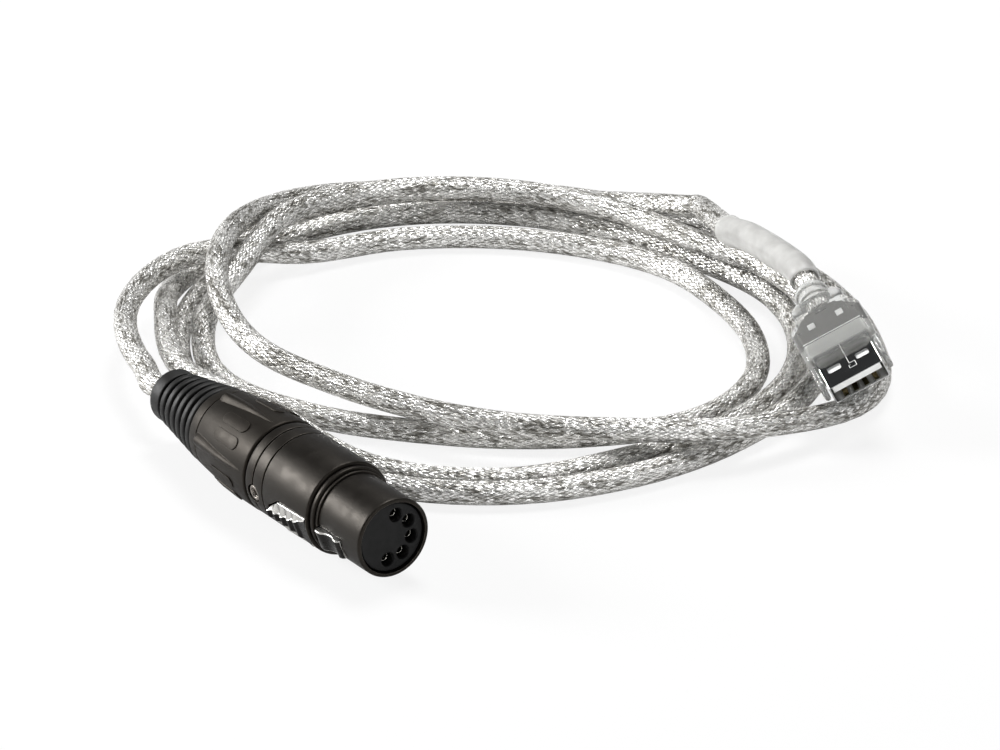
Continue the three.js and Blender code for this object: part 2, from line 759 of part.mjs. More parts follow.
// USB plug, its front at the origin and its length along -X
function makePlugShell() {
  const outside = softBar(-usb.length, 0, usb.width, usb.height, usb.corner);
  const inside = softBar(-usb.length - overrun, overrun, usb.width - 2 * usb.wall, usb.height - 2 * usb.wall,
    usb.corner - usb.wall / 2);
  const windows = [-1, 1].map((side) => block(
    -usb.windowAt - usb.windowLength / 2,
    -usb.windowAt + usb.windowLength / 2,
    side * usb.windowOffset - usb.windowWidth / 2,
    side * usb.windowOffset + usb.windowWidth / 2,
    -usb.height,
    usb.height
  ));
  return cut(outside, inside, ...windows);
}

function plugContactSide(i) {
  return (i - (tongue.contacts - 1) / 2) * tongue.contactSpacing;
}

function makeTongue() {
  const top = usb.height / 2 - usb.wall - fit;
  const bladeHalf = usb.width / 2 - usb.wall - tongue.sideGap;
  const baseHalf = usb.width / 2 - usb.wall - 2 * fit;
  const blade = block(-usb.length + fit, -tongue.front, -bladeHalf, bladeHalf, tongue.under, top);
  const base = block(-usb.length + fit, -tongue.blockStart, -baseHalf, baseHalf, -top, top);
  const grooves = [];
  for (let i = 0; i < tongue.contacts; i += 1) {
    const side = plugContactSide(i);
    const half = tongue.contactWidth / 2 + fit;
    grooves.push(block(-tongue.contactStart - tongue.contactLength - fit, -tongue.contactStart + fit,
      side - half, side + half, tongue.under - overrun / 3, tongue.under + tongue.grooveDepth));
  }
  return cut(join(blade, base), ...grooves);
}

function makePlugContact(i) {
  const side = plugContactSide(i);
  const high = tongue.under + tongue.grooveDepth - fit;
  return block(-tongue.contactStart - tongue.contactLength, -tongue.contactStart,
    side - tongue.contactWidth / 2, side + tongue.contactWidth / 2, high - tongue.contactThickness, high);
}

function makeCan() {
  const outside = skin([
    softRing(-canEnd, can.rearWidth, can.rearHeight, can.corner),
    softRing(-canTaperStart, canWidth, canHeight, can.corner),
    softRing(-can.start, canWidth, canHeight, can.corner)
  ]);
  const thin = 2 * can.wall;
  const inside = skin([
    softRing(-canEnd - overrun, can.rearWidth - thin, can.rearHeight - thin, can.corner - can.wall),
    softRing(-canEnd + can.wall, can.rearWidth - thin, can.rearHeight - thin, can.corner - can.wall),
    softRing(-canTaperStart, canInnerWidth, canInnerHeight, can.corner - can.wall),
    softRing(-can.start + overrun, canInnerWidth, canInnerHeight, can.corner - can.wall)
  ]);
  return cut(outside, inside);
}

function makeMould() {
  const thickRear = thickEnd - mould.shoulder;
  const outside = skin([
    softRing(-blockEnd, blockWidth - 2 * mould.blockRound, blockHeight - mould.blockRound,
      mould.corner),
    softRing(-blockEnd + mould.blockRound, blockWidth, blockHeight, mould.corner),
    softRing(-thickEnd, blockWidth, blockHeight, mould.corner),
    softRing(-thickRear, mouldWidth, mouldHeight, mould.corner),
    softRing(-mouldStart - mould.chamfer, mouldWidth, mouldHeight, mould.corner),
    softRing(-mouldStart, mouldWidth - 2 * mould.chamfer, mouldHeight - 2 * mould.chamfer, mould.corner)
  ]);
  const neck = rod(neckRadius, -mouldEnd, -blockEnd + mould.blockRound, innerSides);
  const flanges = mould.flangePastBlock.map((past) => {
    return rod(flangeRadius, -blockEnd - past - mould.flangeThickness, -blockEnd - past, innerSides);
  });
  const armInner = usb.width / 2 + fit;
  const arms = [-1, 1].map((side) => {
    const [low, high] = side > 0 ? [armInner, armInner + mould.armWidth] : [-armInner - mould.armWidth, -armInner];
    return block(-mouldStart - mould.chamfer, -mould.armFront, low, high, -usb.height / 2, usb.height / 2);
  });
  const mouth = softBar(-can.start, overrun, canInnerWidth, canInnerHeight, usb.corner);
  const room = skin([
    softRing(-canEnd - fit, can.rearWidth + 2 * fit, can.rearHeight + 2 * fit, can.corner),
    softRing(-canTaperStart, canWidth + 2 * fit, canHeight + 2 * fit, can.corner),
    softRing(-can.start + fit, canWidth + 2 * fit, canHeight + 2 * fit, can.corner)
  ]);
  const bore = rod(cableBore, -mouldEnd - overrun, -canEnd + overrun, innerSides);
  return cut(join(outside, neck, ...flanges, ...arms), mouth, room, bore);
}

const plug = new THREE.Group();
plug.add(
  piece('usb_shell', makePlugShell(), plugSteel),
  piece('usb_tongue', makeTongue(), tonguePlastic),
  piece('usb_shield_can', makeCan(), darkCan),
  piece('usb_overmould', makeMould(), clearMould),
  piece('cable_plug_end', rod(cableRadius, -mouldEnd, -plugCableStart, smallSides), braidedCable)
);
for (let i = 0; i < tongue.contacts; i += 1) {
  plug.add(piece(`usb_contact_${i + 1}`, makePlugContact(i), contactMetal));
}
const plugForward = new THREE.Vector3(...plugForwardShares).normalize();
const plugSide = new THREE.Vector3(...plugUpShares).cross(plugForward).normalize();
const plugUp = plugForward.clone().cross(plugSide);
plug.quaternion.setFromRotationMatrix(new THREE.Matrix4().makeBasis(plugForward, plugSide, plugUp));
plug.position.set(...plugFront);

// Loops: a reach and a height at each station, joined smoothly, stepped evenly
function between(values, at) {
  const i = Math.min(Math.floor(at), values.length - 2);
  const t = at - i;
  const a = values[Math.max(i - 1, 0)];
  const b = values[i];
  const c = values[i + 1];
  const d = values[Math.min(i + 2, values.length - 1)];
  return (2 * b + (c - a) * t + (2 * a - 5 * b + 4 * c - d) * t * t + (3 * b - a - 3 * c + d) * t ** 3) / 2;
}

function coilPoint(at) {
  const angle = radians(coil.startAngle) - Math.PI * 2 * at / coil.stations;
  const reach = between(coil.reach, at);
  const rise = coil.layerRise * Math.max(0, between(coil.layerShares, at));
  return new THREE.Vector3(
    coil.centre[0] + reach * Math.cos(angle),
    coil.centre[1] + reach * Math.sin(angle),
    cableRadius + rise
  );
}

const loopPoints = [];
const loopCount = Math.floor((coil.reach.length - 1) * cable.loopSteps / coil.stations);
for (let k = 0; k <= loopCount; k += 1) {
  loopPoints.push(coilPoint(k * coil.stations / cable.loopSteps));
}
const startWay = loopPoints[1].clone().sub(loopPoints[0]).normalize();
const endWay = loopPoints[loopCount].clone().sub(loopPoints[loopCount - 1]).normalize();
const coilStart = loopPoints[0].clone().addScaledVector(startWay, -cable.diameter);
const coilEnd = loopPoints[loopCount].clone().addScaledVector(endWay, cable.diameter);
const coilPath = [coilStart, ...loopPoints, coilEnd];

function leastGap(path) {
  const fine = [];
  for (let i = 0; i + 1 < path.length; i += 1) {
    for (let j = 0; j < coil.fineSteps; j += 1) {
      fine.push(path[i].clone().lerp(path[i + 1], j / coil.fineSteps));
    }
  }
  const apart = cable.loopSteps * coil.fineSteps * coil.neighbourShare;
  let least = Infinity;
  for (let i = 0; i < fine.length; i += 1) {
    for (let j = i + apart; j < fine.length; j += 1) {
      least = Math.min(least, fine[i].distanceTo(fine[j]));
    }
  }
  return least - cable.diameter;
}
console.log('least gap of the coil to itself, mm:', leastGap(coilPath).toFixed(2));

function wound(path, radius, sides) {
  const up = new THREE.Vector3(0, 0, 1);
  const rings = path.map((point, i) => {
    const before = path[Math.max(i - 1, 0)];
    const after = path[Math.min(i + 1, path.length - 1)];
    const way = after.clone().sub(before).normalize();
    const side = way.clone().cross(up).normalize();
    const over = side.clone().cross(way);
    const ring = [];
    for (let j = 0; j < sides; j += 1) {
      const angle = Math.PI * 2 * j / sides;
      ring.push(point.clone()
        .addScaledVector(side, radius * Math.cos(angle))
        .addScaledVector(over, radius * Math.sin(angle)));
    }
    return ring;
  });
  return skin(rings);
}

// Free stretches of the cord
function tube(points, radius, sides, steps) {
  const path = new THREE.CatmullRomCurve3(points, false, 'catmullrom', 0.5);
  const shape = new THREE.Shape();
  for (let j = 0; j < sides; j += 1) {
    const angle = Math.PI * 2 * j / sides;
    const corner = [radius * Math.cos(angle), radius * Math.sin(angle)];
    if (j === 0) shape.moveTo(...corner);
    else shape.lineTo(...corner);
  }
  shape.closePath();
  return new THREE.ExtrudeGeometry(shape, { steps, extrudePath: path, bevelEnabled: false });
}

const place = ([x, y, z]) => new THREE.Vector3(x, y, z);
const cordField = new THREE.Group();
cordField.position.set(...field.offset, 0);
cordField.rotation.z = radians(field.turn);
cordField.updateMatrixWorld();
const exit = new THREE.Vector3(-fit, 0, connector.position.z);
const exitStub = exit.clone().setX(-fit - endStub);
const leadRoute = [
  cordField.worldToLocal(exit),
  cordField.worldToLocal(exitStub),
  coilStart.clone().addScaledVector(startWay, -fit - endStub),
  coilStart.clone().addScaledVector(startWay, -fit)
];
const tailRoute = [
  coilEnd.clone().addScaledVector(endWay, fit),
  coilEnd.clone().addScaledVector(endWay, fit + endStub),
  ...tailPoints.map(place),
  place(tailEnd)
];
const neck = place(plugFront).addScaledVector(plugForward, -mouldEnd - fit);
const neckStub = neck.clone().addScaledVector(plugForward, -sleeve.stub);
const sleeveWay = place(tailEnd).sub(place(tailPoints[tailPoints.length - 1])).normalize();
const sleeveRoute = [
  place(tailEnd).addScaledVector(sleeveWay, fit),
  place(tailEnd).addScaledVector(sleeveWay, fit + endStub),
  ...sleevePoints.map(place),
  neckStub,
  neck
];
cordField.add(
  piece('cable_lead', tube(leadRoute, cableRadius, cable.jacketSides, leadSteps), braidedCable),
  piece('cable_coil', wound(coilPath, cableRadius, cable.coilSides), braidedCable),
  piece('cable_tail', tube(tailRoute, cableRadius, cable.jacketSides, tailSteps), braidedCable),
  piece('cable_sleeve', tube(sleeveRoute, sleeve.diameter / 2, sleeve.sides, sleeve.steps), frosted),
  plug
);

// The whole set, its origin under the middle of the connector
const device = new THREE.Group();
device.add(connector, cordField);
device.position.set(
  -(connectorBox.min.x + connectorBox.max.x) / 2,
  -(connectorBox.min.y + connectorBox.max.y) / 2,
  0
);

export default device;
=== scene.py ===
# %% [markdown]
# # A USB lighting cable, built as a lesson
# The object is a round locking connector with a converter board inside, a clear
# cable lying in loose loops, and a clear moulded USB plug. The frame that is
# loaded here holds every part at its true size and place. All that follows
# dresses it: finer shapes where a facet would show, and a surface for each part.

# %% Load the frame
from math import cos, floor, pi, radians, sin
import bmesh
import bpy
from mathutils import Matrix, Vector


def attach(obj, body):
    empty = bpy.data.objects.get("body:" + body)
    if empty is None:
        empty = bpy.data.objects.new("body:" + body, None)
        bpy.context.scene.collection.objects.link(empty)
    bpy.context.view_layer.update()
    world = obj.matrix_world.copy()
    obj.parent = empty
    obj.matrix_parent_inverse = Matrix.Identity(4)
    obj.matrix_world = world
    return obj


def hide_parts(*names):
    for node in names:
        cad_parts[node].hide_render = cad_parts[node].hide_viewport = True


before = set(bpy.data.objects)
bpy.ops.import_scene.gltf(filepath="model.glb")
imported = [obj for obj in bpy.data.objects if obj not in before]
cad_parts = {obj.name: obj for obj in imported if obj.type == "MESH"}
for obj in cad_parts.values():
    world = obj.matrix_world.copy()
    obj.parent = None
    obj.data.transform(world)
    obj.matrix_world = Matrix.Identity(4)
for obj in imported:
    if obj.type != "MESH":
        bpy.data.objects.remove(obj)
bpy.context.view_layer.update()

# %% [markdown]
# ## Sizes and places
# Everything is in metres, and real sizes of small things are easier to read in
# millimetres, so one value turns them over. The connector has its own axis, and
# its pieces are drawn along that axis and turned into place by one matrix. The
# same is done for the plug, which leans on the loops.

# %% Units and the two turned frames
MM = 0.001
FIT = 0.3

CONNECTOR_MIDDLE = (-38.8, 0.606, 9.721)
LATCH_ROLL = 111
connector_place = Matrix.Translation(Vector(CONNECTOR_MIDDLE) * MM) @ Matrix.Rotation(radians(LATCH_ROLL), 4, "X")

FIELD_MIDDLE = (-26.09, 70.406, 0)
FIELD_TURN = 55
field_place = Matrix.Translation(Vector(FIELD_MIDDLE) * MM) @ Matrix.Rotation(radians(FIELD_TURN), 4, "Z")

PLUG_FRONT = (70.62, -29.89, 12.4)
plug_forward = Vector((0.276, -0.939, -0.206)).normalized()
plug_side = Vector((-0.397, -0.288, 0.871)).cross(plug_forward).normalized()
plug_up = plug_forward.cross(plug_side)
plug_turn = Matrix((plug_forward, plug_side, plug_up)).transposed().to_4x4()
plug_place = field_place @ Matrix.Translation(Vector(PLUG_FRONT) * MM) @ plug_turn
print("plug's front at", tuple(round(v, 4) for v in plug_place.translation))

# %% [markdown]
# ## Camera
# The photograph was taken from well above the table, from the connector's open
# end and from far away, so the near and the far side of the loops are almost
# the same size. A long lens does that. The sharpness is the same everywhere.

# %% Camera
scene = bpy.context.scene
CAMERA_ELEVATION = 25
CAMERA_DISTANCE = 1.25
SENSOR = 36
PHOTO_FOCAL_SHARE = 6.2

back = Vector((0, -cos(radians(CAMERA_ELEVATION)), sin(radians(CAMERA_ELEVATION))))
back.rotate(Matrix.Rotation(radians(FIELD_TURN), 3, "Z"))
camera_data = bpy.data.cameras.new("photo_camera")
camera_data.sensor_fit = "HORIZONTAL"
camera_data.sensor_width = SENSOR
camera_data.lens = SENSOR * PHOTO_FOCAL_SHARE
camera_data.clip_start = 0.05
camera_data.clip_end = 20
camera = bpy.data.objects.new("photo_camera", camera_data)
scene.collection.objects.link(camera)
camera.location = Vector(FIELD_MIDDLE) * MM + back * CAMERA_DISTANCE
camera.rotation_euler = back.to_track_quat("Z", "Y").to_euler()
scene.camera = camera
print("camera at", tuple(round(v, 3) for v in camera.location))

# %% [markdown]
# ## The cable's route
# The cable leaves the connector's boot, runs four and a bit turns clockwise and
# ends in the plug. A turn is described by how far the cable is from the middle
# of the loops, and by how many cable thicknesses it lies above the table. Both
# are given at sixteen stations to the turn and joined smoothly between them.
# One list of points results, close enough together to look round.

# %% Route of the cable
CABLE_DIAMETER = 4.8
COIL_MIDDLE = (0, 12)
START_ANGLE = 202.5
STATIONS = 16
LAYER_RISE = 5.3
REACH = [
    76.4,
    75.3, 68.79, 57.86, 54.36, 51.29, 49.71, 49.4, 49.02, 51.47, 54.43, 54.34, 49.36, 46.02, 46.51, 52.47, 60.08,
    59.93, 57.53, 62.06, 64.02, 63.15, 58.83, 55.75, 60.29, 65.33, 67.25, 66.69, 68.39, 71.18, 71.61, 68.41, 65.65,
    65.31, 65.91, 67.44, 66.16, 63.14, 59.59, 57.51, 59.86, 60.65, 60.96, 60.47, 61.5, 65.4, 66.4, 63.27, 68.24,
    67.83, 71.85, 73.76, 76.66, 75.2, 72.31, 69.68, 71.8, 75.11, 79.15, 71.76, 60.12, 51.5, 46.44, 46.87, 52.35,
    56.52, 61.86, 68.84, 71.64, 68.07, 65.06, 58.6,
]
LAYERS = [
    1.4,
    1.503, 1.366, 0.226, 0.032, 0, 0.011, 0.056, 0.016, 0.001, 0, 0.007, 0.059, 0.01, 0.003, 0.099, 0.297,
    0.674, 1.291, 1.722, 1.393, 1.123, 1.039, 0.961, 1.011, 0.75, 0.341, 0.076, 0, 0.016, 0.06, 0.046, 0,
    0.003, 0, 0.066, 0.101, 0.074, 0.033, 0, 0, 0, 0.001, 0.023, 0.039, 0.013, 0.229, 0.909, 1.027,
    1.08, 0.116, 0, 0.046, 0.006, 0.04, 0.005, 0.008, 0.011, 0.226, 0.876, 1.157, 1.07, 1, 1.111, 1.397,
    1.79, 2.109, 1.551, 0.766, 0.205, 0.795, 2,
]
COIL_STEPS = 96
CAD_STEPS = 24
END_STUB = 2.6


def bend(a, b, c, d, t):
    """A smooth way from b to c, led by the stops before and after them."""
    return (2 * b + (c - a) * t + (2 * a - 5 * b + 4 * c - d) * t * t + (3 * b - a - 3 * c + d) * t ** 3) / 2


def smooth_value(values, at):
    i = min(floor(at), len(values) - 2)
    return bend(values[max(i - 1, 0)], values[i], values[i + 1], values[min(i + 2, len(values) - 1)], at - i)


def smooth_line(stops, steps):
    stops = [stops[0] * 2 - stops[1], *stops, stops[-1] * 2 - stops[-2]]
    line = [bend(*stops[i - 1:i + 3], k / steps) for i in range(1, len(stops) - 2) for k in range(steps)]
    return [*line, stops[-2]]


def coil_point(at):
    angle = radians(START_ANGLE) - 2 * pi * at / STATIONS
    reach = smooth_value(REACH, at)
    rise = LAYER_RISE * max(0, smooth_value(LAYERS, at))
    return Vector((COIL_MIDDLE[0] + reach * cos(angle), COIL_MIDDLE[1] + reach * sin(angle),
                   CABLE_DIAMETER / 2 + rise))


coarse = STATIONS / CAD_STEPS
last_station = floor((len(REACH) - 1) * CAD_STEPS / STATIONS) * STATIONS / CAD_STEPS
loops = [coil_point(k * STATIONS / COIL_STEPS) for k in range(int(last_station * COIL_STEPS / STATIONS) + 1)]
start_way = (coil_point(coarse) - coil_point(0)).normalized()
end_way = (coil_point(last_station) - coil_point(last_station - coarse)).normalized()
coil_start = loops[0] - start_way * CABLE_DIAMETER
coil_end = loops[-1] + end_way * CABLE_DIAMETER

to_field = field_place.inverted()
tail_exit = to_field @ (connector_place @ Vector((0, 0, 0))) / MM
exit_way = (to_field @ (connector_place @ Vector((-MM, 0, 0))) / MM - tail_exit).normalized()
lead = smooth_line([tail_exit, tail_exit + exit_way * (FIT + END_STUB),
                    coil_start - start_way * (FIT + END_STUB), coil_start - start_way * FIT], 5)

TAIL_POINT = Vector((44.6, 45, 14.9))
TAIL_END = Vector((47, 36, 16.4))
SLEEVE_POINT = Vector((51.8, 25.5, 18.6))
SLEEVE_STUB = 8
PLUG_LENGTH = 31
CABLE_IN_PLUG = 22.6
neck = Vector(PLUG_FRONT) - plug_forward * (PLUG_LENGTH + FIT)
neck_stub = neck - plug_forward * SLEEVE_STUB
tail = smooth_line([coil_end, coil_end + end_way * END_STUB, TAIL_POINT, TAIL_END], 7)
sleeve_way = (TAIL_END - TAIL_POINT).normalized()
sleeve_line = smooth_line([TAIL_END + sleeve_way * FIT, TAIL_END + sleeve_way * (FIT + END_STUB),
                           SLEEVE_POINT, neck_stub, neck], 8)
into_plug = [neck + plug_forward * k for k in (3, 6, PLUG_LENGTH - CABLE_IN_PLUG)]

route = [field_place @ (p * MM) for p in [*lead, coil_start, *loops, *tail, *sleeve_line, *into_plug]]
route = [p for i, p in enumerate(route) if i == 0 or (p - route[i - 1]).length > 0.2 * MM]

# %% [markdown]
# ## Helpers for node trees
# Materials and geometry trees are both graphs of nodes. A few small helpers
# keep the lesson readable: one adds a node and fills its sockets, some name the
# nodes that come up most, and one starts a geometry tree with named inputs, so
# that a size can be changed later in the modifier without opening the tree.

# %% Node helpers
def put(tree, kind, inputs=(), **settings):
    node = tree.nodes.new(kind)
    for key, value in settings.items():
        setattr(node, key, value)
    for key, value in dict(inputs).items():
        socket = node.inputs[key]
        if isinstance(value, bpy.types.NodeSocket):
            tree.links.new(value, socket)
        else:
            socket.default_value = value
    return node


def calc(tree, operation, *values):
    """One math node, given its operation and its values or sockets."""
    return put(tree, "ShaderNodeMath", dict(enumerate(values)), operation=operation).outputs[0]


def vector(tree, x, y=0.0, z=0.0):
    return put(tree, "ShaderNodeCombineXYZ", {0: x, 1: y, 2: z}).outputs[0]


def ranged(tree, value, low, high, out_low=0.0, out_high=1.0):
    return put(tree, "ShaderNodeMapRange", {"Value": value, "From Min": low, "From Max": high,
                                            "To Min": out_low, "To Max": out_high}).outputs[0]


def blend(tree, share, one, two):
    return put(tree, "ShaderNodeMix", {0: share, 6: one, 7: two}, data_type="RGBA").outputs[2]


def attribute_of(tree, name):
    return put(tree, "ShaderNodeAttribute", attribute_name=name).outputs["Fac"]


def geometry_tree(name, sizes):
    tree = bpy.data.node_groups.new(name, "GeometryNodeTree")
    tree.interface.new_socket("Geometry", in_out="INPUT", socket_type="NodeSocketGeometry")
    for label, value in sizes.items():
        kind = "NodeSocketInt" if isinstance(value, int) else "NodeSocketFloat"
        tree.interface.new_socket(label, in_out="INPUT", socket_type=kind).default_value = value
    tree.interface.new_socket("Geometry", in_out="OUTPUT", socket_type="NodeSocketGeometry")
    return tree, tree.nodes.new("NodeGroupInput").outputs


def finished(tree, geometry, material):
    """The last nodes of a tree: its material and its output."""
    dressed = put(tree, "GeometryNodeSetMaterial", {"Geometry": geometry, "Material": material})
    put(tree, "NodeGroupOutput", {"Geometry": dressed.outputs["Geometry"]})
    return tree


def link(obj):
    scene.collection.objects.link(obj)
    return obj


def evaluated_mesh(obj):
    """What an object's modifiers make, as a plain mesh."""
    depsgraph = bpy.context.evaluated_depsgraph_get()
    depsgraph.update()
    return bpy.data.meshes.new_from_object(obj.evaluated_get(depsgraph), depsgraph=depsgraph)


def settled(name, base, material, place=None):
    """Keep what an object's modifiers make as a plain mesh, in its place."""
    mesh = evaluated_mesh(base)
    mesh.name = name
    bpy.data.objects.remove(base)
    obj = link(bpy.data.objects.new(name, mesh))
    mesh.materials.clear()
    mesh.materials.append(material)
    if place:
        mesh.transform(place)
    print(name, len(mesh.vertices), "points", len(mesh.polygons), "faces")
    return obj


def grown(name, base, tree, material, sizes=()):
    """Run a geometry tree on a base object, with some of its named sizes set."""
    modifier = base.modifiers.new("grow", "NODES")
    modifier.node_group = tree
    for item in tree.interface.items_tree:
        if item.in_out == "INPUT" and item.name in dict(sizes):
            modifier[item.identifier] = dict(sizes)[item.name]
    return settled(name, base, material)


# %% [markdown]
# ## Surfaces that are not one flat colour
# A real surface varies: its colour drifts a little, its gloss is uneven, and a
# fine grain breaks up the highlight. One helper makes such a surface from two
# close colours. A slow noise mixes the colours, a finer one moves the
# roughness, and the finest is the grain of the bump. Edges are found by
# comparing the true normal with one that is rounded off by the Bevel node:
# where the two differ, there is an edge, and it takes a colour of its own. On
# some finishes that colour is wear where hands and sockets rub; on others it is
# a painted highlight that stands for the light an edge catches.

# %% Surface helper
def surface(name, color, roughness, metallic=0.0, **sockets):
    material = bpy.data.materials.new(name)
    material.use_nodes = True
    shader = material.node_tree.nodes["Principled BSDF"]
    shader.inputs["Base Color"].default_value = (*color, 1)
    shader.inputs["Roughness"].default_value = roughness
    shader.inputs["Metallic"].default_value = metallic
    for key, value in sockets.items():
        shader.inputs[key.replace("_", " ")].default_value = value
    return material, material.node_tree, shader


def noise(tree, scale, detail=2.0, stretch=(1, 1, 1)):
    place = put(tree, "ShaderNodeTexCoord").outputs["Object"]
    laid = put(tree, "ShaderNodeMapping", {"Vector": place, "Scale": stretch}).outputs["Vector"]
    return put(tree, "ShaderNodeTexNoise", {"Vector": laid, "Scale": scale, "Detail": detail}).outputs["Fac"]


def varied(name, low, high, gloss, metallic=0.0, drift=60, grain=2600, depth=0.02, edge_wear_and_highlight=None,
           rounding=0.12, stretch=(1, 1, 1), **sockets):
    """Two colours, a range of roughness, a grain of a depth in mm, and perhaps an edge colour, which is wear on some
    finishes and a painted highlight on others.
    """
    material, tree, shader = surface(name, low, gloss[0], metallic, **sockets)
    color = blend(tree, noise(tree, drift, 4.0, stretch), (*low, 1), (*high, 1))
    rough = ranged(tree, noise(tree, drift * 3, 3.0, stretch), 0.3, 0.7, *gloss)
    soft = put(tree, "ShaderNodeBevel", {"Radius": rounding * MM}, samples=4).outputs["Normal"]
    bump = put(tree, "ShaderNodeBump", {"Height": noise(tree, grain, 2.0, stretch), "Strength": 1.0,
                                        "Distance": depth * MM, "Normal": soft})
    if edge_wear_and_highlight:
        plain = put(tree, "ShaderNodeNewGeometry").outputs["Normal"]
        match = put(tree, "ShaderNodeVectorMath", {0: soft, 1: plain}, operation="DOT_PRODUCT").outputs["Value"]
        edge = calc(tree, "MULTIPLY", ranged(tree, match, 0.995, 0.9), noise(tree, 900, 3.0))
        color = blend(tree, edge, color, (*edge_wear_and_highlight, 1))
    tree.links.new(color, shader.inputs["Base Color"])
    tree.links.new(rough, shader.inputs["Roughness"])
    tree.links.new(bump.outputs["Normal"], shader.inputs["Normal"])
    return material


# %% [markdown]
# ## The jacket over the braid
# The cable is silver braid under a clear jacket. Ribbons of fine wire run round
# the core both ways and pass over and under each other, so the surface shows
# small bright diamonds. The jacket itself is smooth, so it is the shader's clear
# coat, and only the metal beneath it is bumpy. The pattern has to follow the
# cable round every bend, so it reads two attributes made with the tube: the way
# along it and the share of a turn around it. No two crossings lie alike, so each
# gets a tilt of its own from white noise. The same noise paints a few crossings
# bright, and long soft streaks are painted lighter along the cable: both are
# painted highlights in the base colour.

# %% Braided cable material
BRAID_RIBBONS = 18
BRAID_LEAD = 34.0
WIRES_IN_RIBBON = 3
BASE_TONE, PAINTED_GLINT_TONE, PAINTED_STREAK_TONE, WASH_TONE, WIRE_TONE = 0.13, 0.6, 0.36, 0.26, 0.05
BRAID_RAMP = [(0.02, (0.03, 0.027, 0.022)), (0.3, (0.27, 0.26, 0.235)), (0.62, (1.0, 0.99, 0.965))]


def braid_material(name):
    material, tree, shader = surface(name, (0.62, 0.62, 0.6), 0.3, 0.55, Specular_Tint=(0.30, 0.29, 0.27, 1),
                                     Coat_Weight=0.2, Coat_Roughness=0.08, Coat_IOR=1.45)

    def work(operation, *values):
        return calc(tree, operation, *values)

    along, around = attribute_of(tree, "along"), attribute_of(tree, "around")
    lean = work("MULTIPLY", along, BRAID_RIBBONS / (BRAID_LEAD * MM))
    lean = work("MULTIPLY_ADD", noise(tree, 420.0), 0.9, lean)
    turn = work("MULTIPLY", around, float(BRAID_RIBBONS))
    ways = [work("ADD", lean, turn), work("SUBTRACT", lean, turn)]
    parts = [work("FRACT", way) for way in ways]
    cells = [work("FLOOR", way) for way in ways]
    parity = work("ABSOLUTE", work("MODULO", work("ADD", *cells), 2.0))
    luck = put(tree, "ShaderNodeTexWhiteNoise", {"Vector": vector(tree, *cells)},
               noise_dimensions="3D").outputs["Value"]

    def woven(one, two):
        return put(tree, "ShaderNodeMix", {0: parity, 2: one, 3: two}).outputs[0]

    across, onward = woven(parts[0], parts[1]), woven(parts[1], parts[0])
    band = ranged(tree, work("ABSOLUTE", work("SUBTRACT", across, 0.5)), 0.5, 0.34)
    hump = work("SINE", work("MULTIPLY", onward, pi))
    wires = woven(*[work("SINE", work("MULTIPLY", way, WIRES_IN_RIBBON * 2 * pi)) for way in ways])
    tilt = work("MULTIPLY", work("SUBTRACT", luck, 0.5), onward)
    height = work("MULTIPLY_ADD", wires, 0.13, work("MULTIPLY", band, hump))
    height = work("MULTIPLY_ADD", tilt, 1.6, height)
    bump = put(tree, "ShaderNodeBump", {"Height": height, "Strength": 1.0, "Distance": 0.1 * MM})

    circle = work("MULTIPLY", around, 2 * pi)
    ring = vector(tree, work("COSINE", circle), work("SINE", circle), work("MULTIPLY", along, 90.0))

    def cloud(scale, detail, low, high):
        found = put(tree, "ShaderNodeTexNoise", {"Vector": ring, "Scale": scale, "Detail": detail})
        return ranged(tree, found.outputs["Fac"], low, high)

    # The streaks are lighter bands along the cable: painted highlight.
    wash, painted_streak = cloud(1.3, 2.0, 0.36, 0.6), cloud(6.0, 5.0, 0.4, 0.6)
    # A few crossings are painted bright by the white noise: painted glints.
    painted_glint = work("POWER", luck, 5.0)
    tone = work("MULTIPLY_ADD", painted_streak, PAINTED_STREAK_TONE, work("MULTIPLY", painted_glint, PAINTED_GLINT_TONE))
    tone = work("MULTIPLY_ADD", wash, WASH_TONE, work("ADD", tone, BASE_TONE))
    tone = work("MULTIPLY", tone, work("MULTIPLY_ADD", band, 0.7, 0.3))
    tone = work("MULTIPLY_ADD", wires, WIRE_TONE, tone)
    color = put(tree, "ShaderNodeValToRGB", {"Fac": tone})
    stops = color.color_ramp.elements
    stops.new(BRAID_RAMP[1][0])
    for stop, (position, shade) in zip(stops, BRAID_RAMP):
        stop.position = position
        stop.color = (*shade, 1)
    tree.links.new(color.outputs["Color"], shader.inputs["Base Color"])
    tree.links.new(ranged(tree, luck, 0.0, 1.0, 0.42, 0.16), shader.inputs["Roughness"])
    tree.links.new(bump.outputs["Normal"], shader.inputs["Normal"])
    return material


cable_material = braid_material("silver_braid_clear_jacket")

# %% [markdown]
# ## The cable's tube
# The route is one open line. A geometry tree sweeps a circle along it, and while
# it does so it stores how far along and how far round each point is. The seam is
# where the round count starts again: the count is stored per face corner, so the
# last strip of faces runs on to one instead of back to zero.

# %% Cable tube
CABLE_SIDES = 20


def line_object(name, points):
    data = bpy.data.curves.new(name, "CURVE")
    data.dimensions = "3D"
    spline = data.splines.new("POLY")
    spline.points.add(len(points) - 1)
    for point, place in zip(spline.points, points):
        point.co = (*place, 1)
    data.twist_mode = "Z_UP"
    return link(bpy.data.objects.new(name, data))


